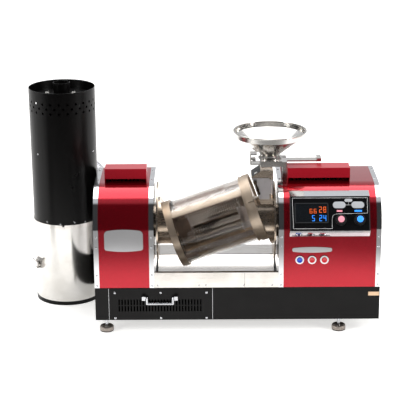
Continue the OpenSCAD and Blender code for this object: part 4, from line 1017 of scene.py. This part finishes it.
paper_finish, tree, shader = new_finish("lit_paper", "#f4f3f1", 0.0, 0.9,
                                        Emission_Strength=GLOW)
shader.inputs["Emission Color"].default_value = colour("#fffefc")
paper = pattern(tree, PAPER_MM)
spot = add(tree, "ShaderNodeTexCoord")
depth = add(tree, "ShaderNodeSeparateXYZ", {"Vector": spot.outputs["Object"]}).outputs[1]
tree.links.new(fade(tree, depth, -1.2, -0.75, 0.0, GLOW), shader.inputs["Emission Strength"])
white = tint(tree, paper.outputs[0], "#f6f5f3", "#f1f0ee")
# painted shade: the paper's colour darkens to 0.3 of its white in front of the machine, so
# upright sheets mirror a dimmer floor
greyed = add(tree, "ShaderNodeVectorMath",
             {0: white, "Scale": fade(tree, depth, -1.3, -0.72, 0.3, 1.0)}, operation="SCALE")
tree.links.new(greyed.outputs[0], shader.inputs["Base Color"])
flat_sheet("studio_floor", FLOOR_CORNERS, paper_finish)
print("floor glow", GLOW)

# %% [markdown]
# A polished pot that mirrored only white would look like paper. A dark card stands in front
# of it on the left, out of the photograph's view, and puts a dark line down the pot's side.
# Three soft boxes light the machine: a large one overhead, and one on each side.

# %% The dark card and the soft boxes
CARD_CORNERS = [(-1.32, -0.52, 0), (-1.12, -0.72, 0), (-1.12, -0.72, 1.6), (-1.32, -0.52, 1.6)]
flat_sheet("dark_card", CARD_CORNERS, new_finish("dark_card", "#040404", 0.0, 0.9)[0])


def soft_box(name, place, aim, wide, deep, watts):
    """A rectangular lamp at place that points at aim, all in metres."""
    lamp = bpy.data.lights.new(name, "AREA")
    lamp.shape, lamp.size, lamp.size_y, lamp.energy = "RECTANGLE", wide, deep, watts
    holder = bpy.data.objects.new(name, lamp)
    bpy.context.scene.collection.objects.link(holder)
    holder.location = place
    holder.rotation_euler = (Vector(aim) - Vector(place)).to_track_quat("-Z", "Y").to_euler()


soft_box("overhead_box", (0.0, 0.75, 3.3), (0.0, 0.35, 0.3), 4.5, 2.6, 120)
soft_box("left_box", (-3.6, -2.4, 1.9), (0.0, 0.0, 0.4), 1.0, 2.2, 150)
soft_box("right_box", (3.8, -2.2, 1.9), (0.0, 0.0, 0.4), 1.0, 2.2, 125)
print("soft boxes", len(bpy.data.lights))

# %% [markdown]
# The room itself is a gradient: white behind the machine and straight above it, and nearly
# dark everywhere else. One value says how light each direction is, and sets its strength.

# %% The room
DARK_ROOM, WHITE_WALL = 0.06, 0.85
world = bpy.data.worlds.new("studio_room")
bpy.context.scene.world = world
world.use_nodes = True
room = world.node_tree
towards = add(room, "ShaderNodeTexCoord")
parts = add(room, "ShaderNodeSeparateXYZ", {"Vector": towards.outputs["Generated"]})
behind = fade(room, parts.outputs[1], -0.1, 0.25, 0.0, 1.0)
above = fade(room, parts.outputs[2], 0.88, 0.95, 0.0, 1.0)
lightness = add(room, "ShaderNodeMath", {0: behind, 1: above}, operation="MAXIMUM")
background = room.nodes["Background"]
room.links.new(spread(room, lightness.outputs[0], DARK_ROOM, WHITE_WALL),
               background.inputs["Strength"])
background.inputs["Color"].default_value = colour("#f2f4f7")
bpy.context.scene.view_settings.view_transform = "Standard"
print("room from", DARK_ROOM, "to", WHITE_WALL)
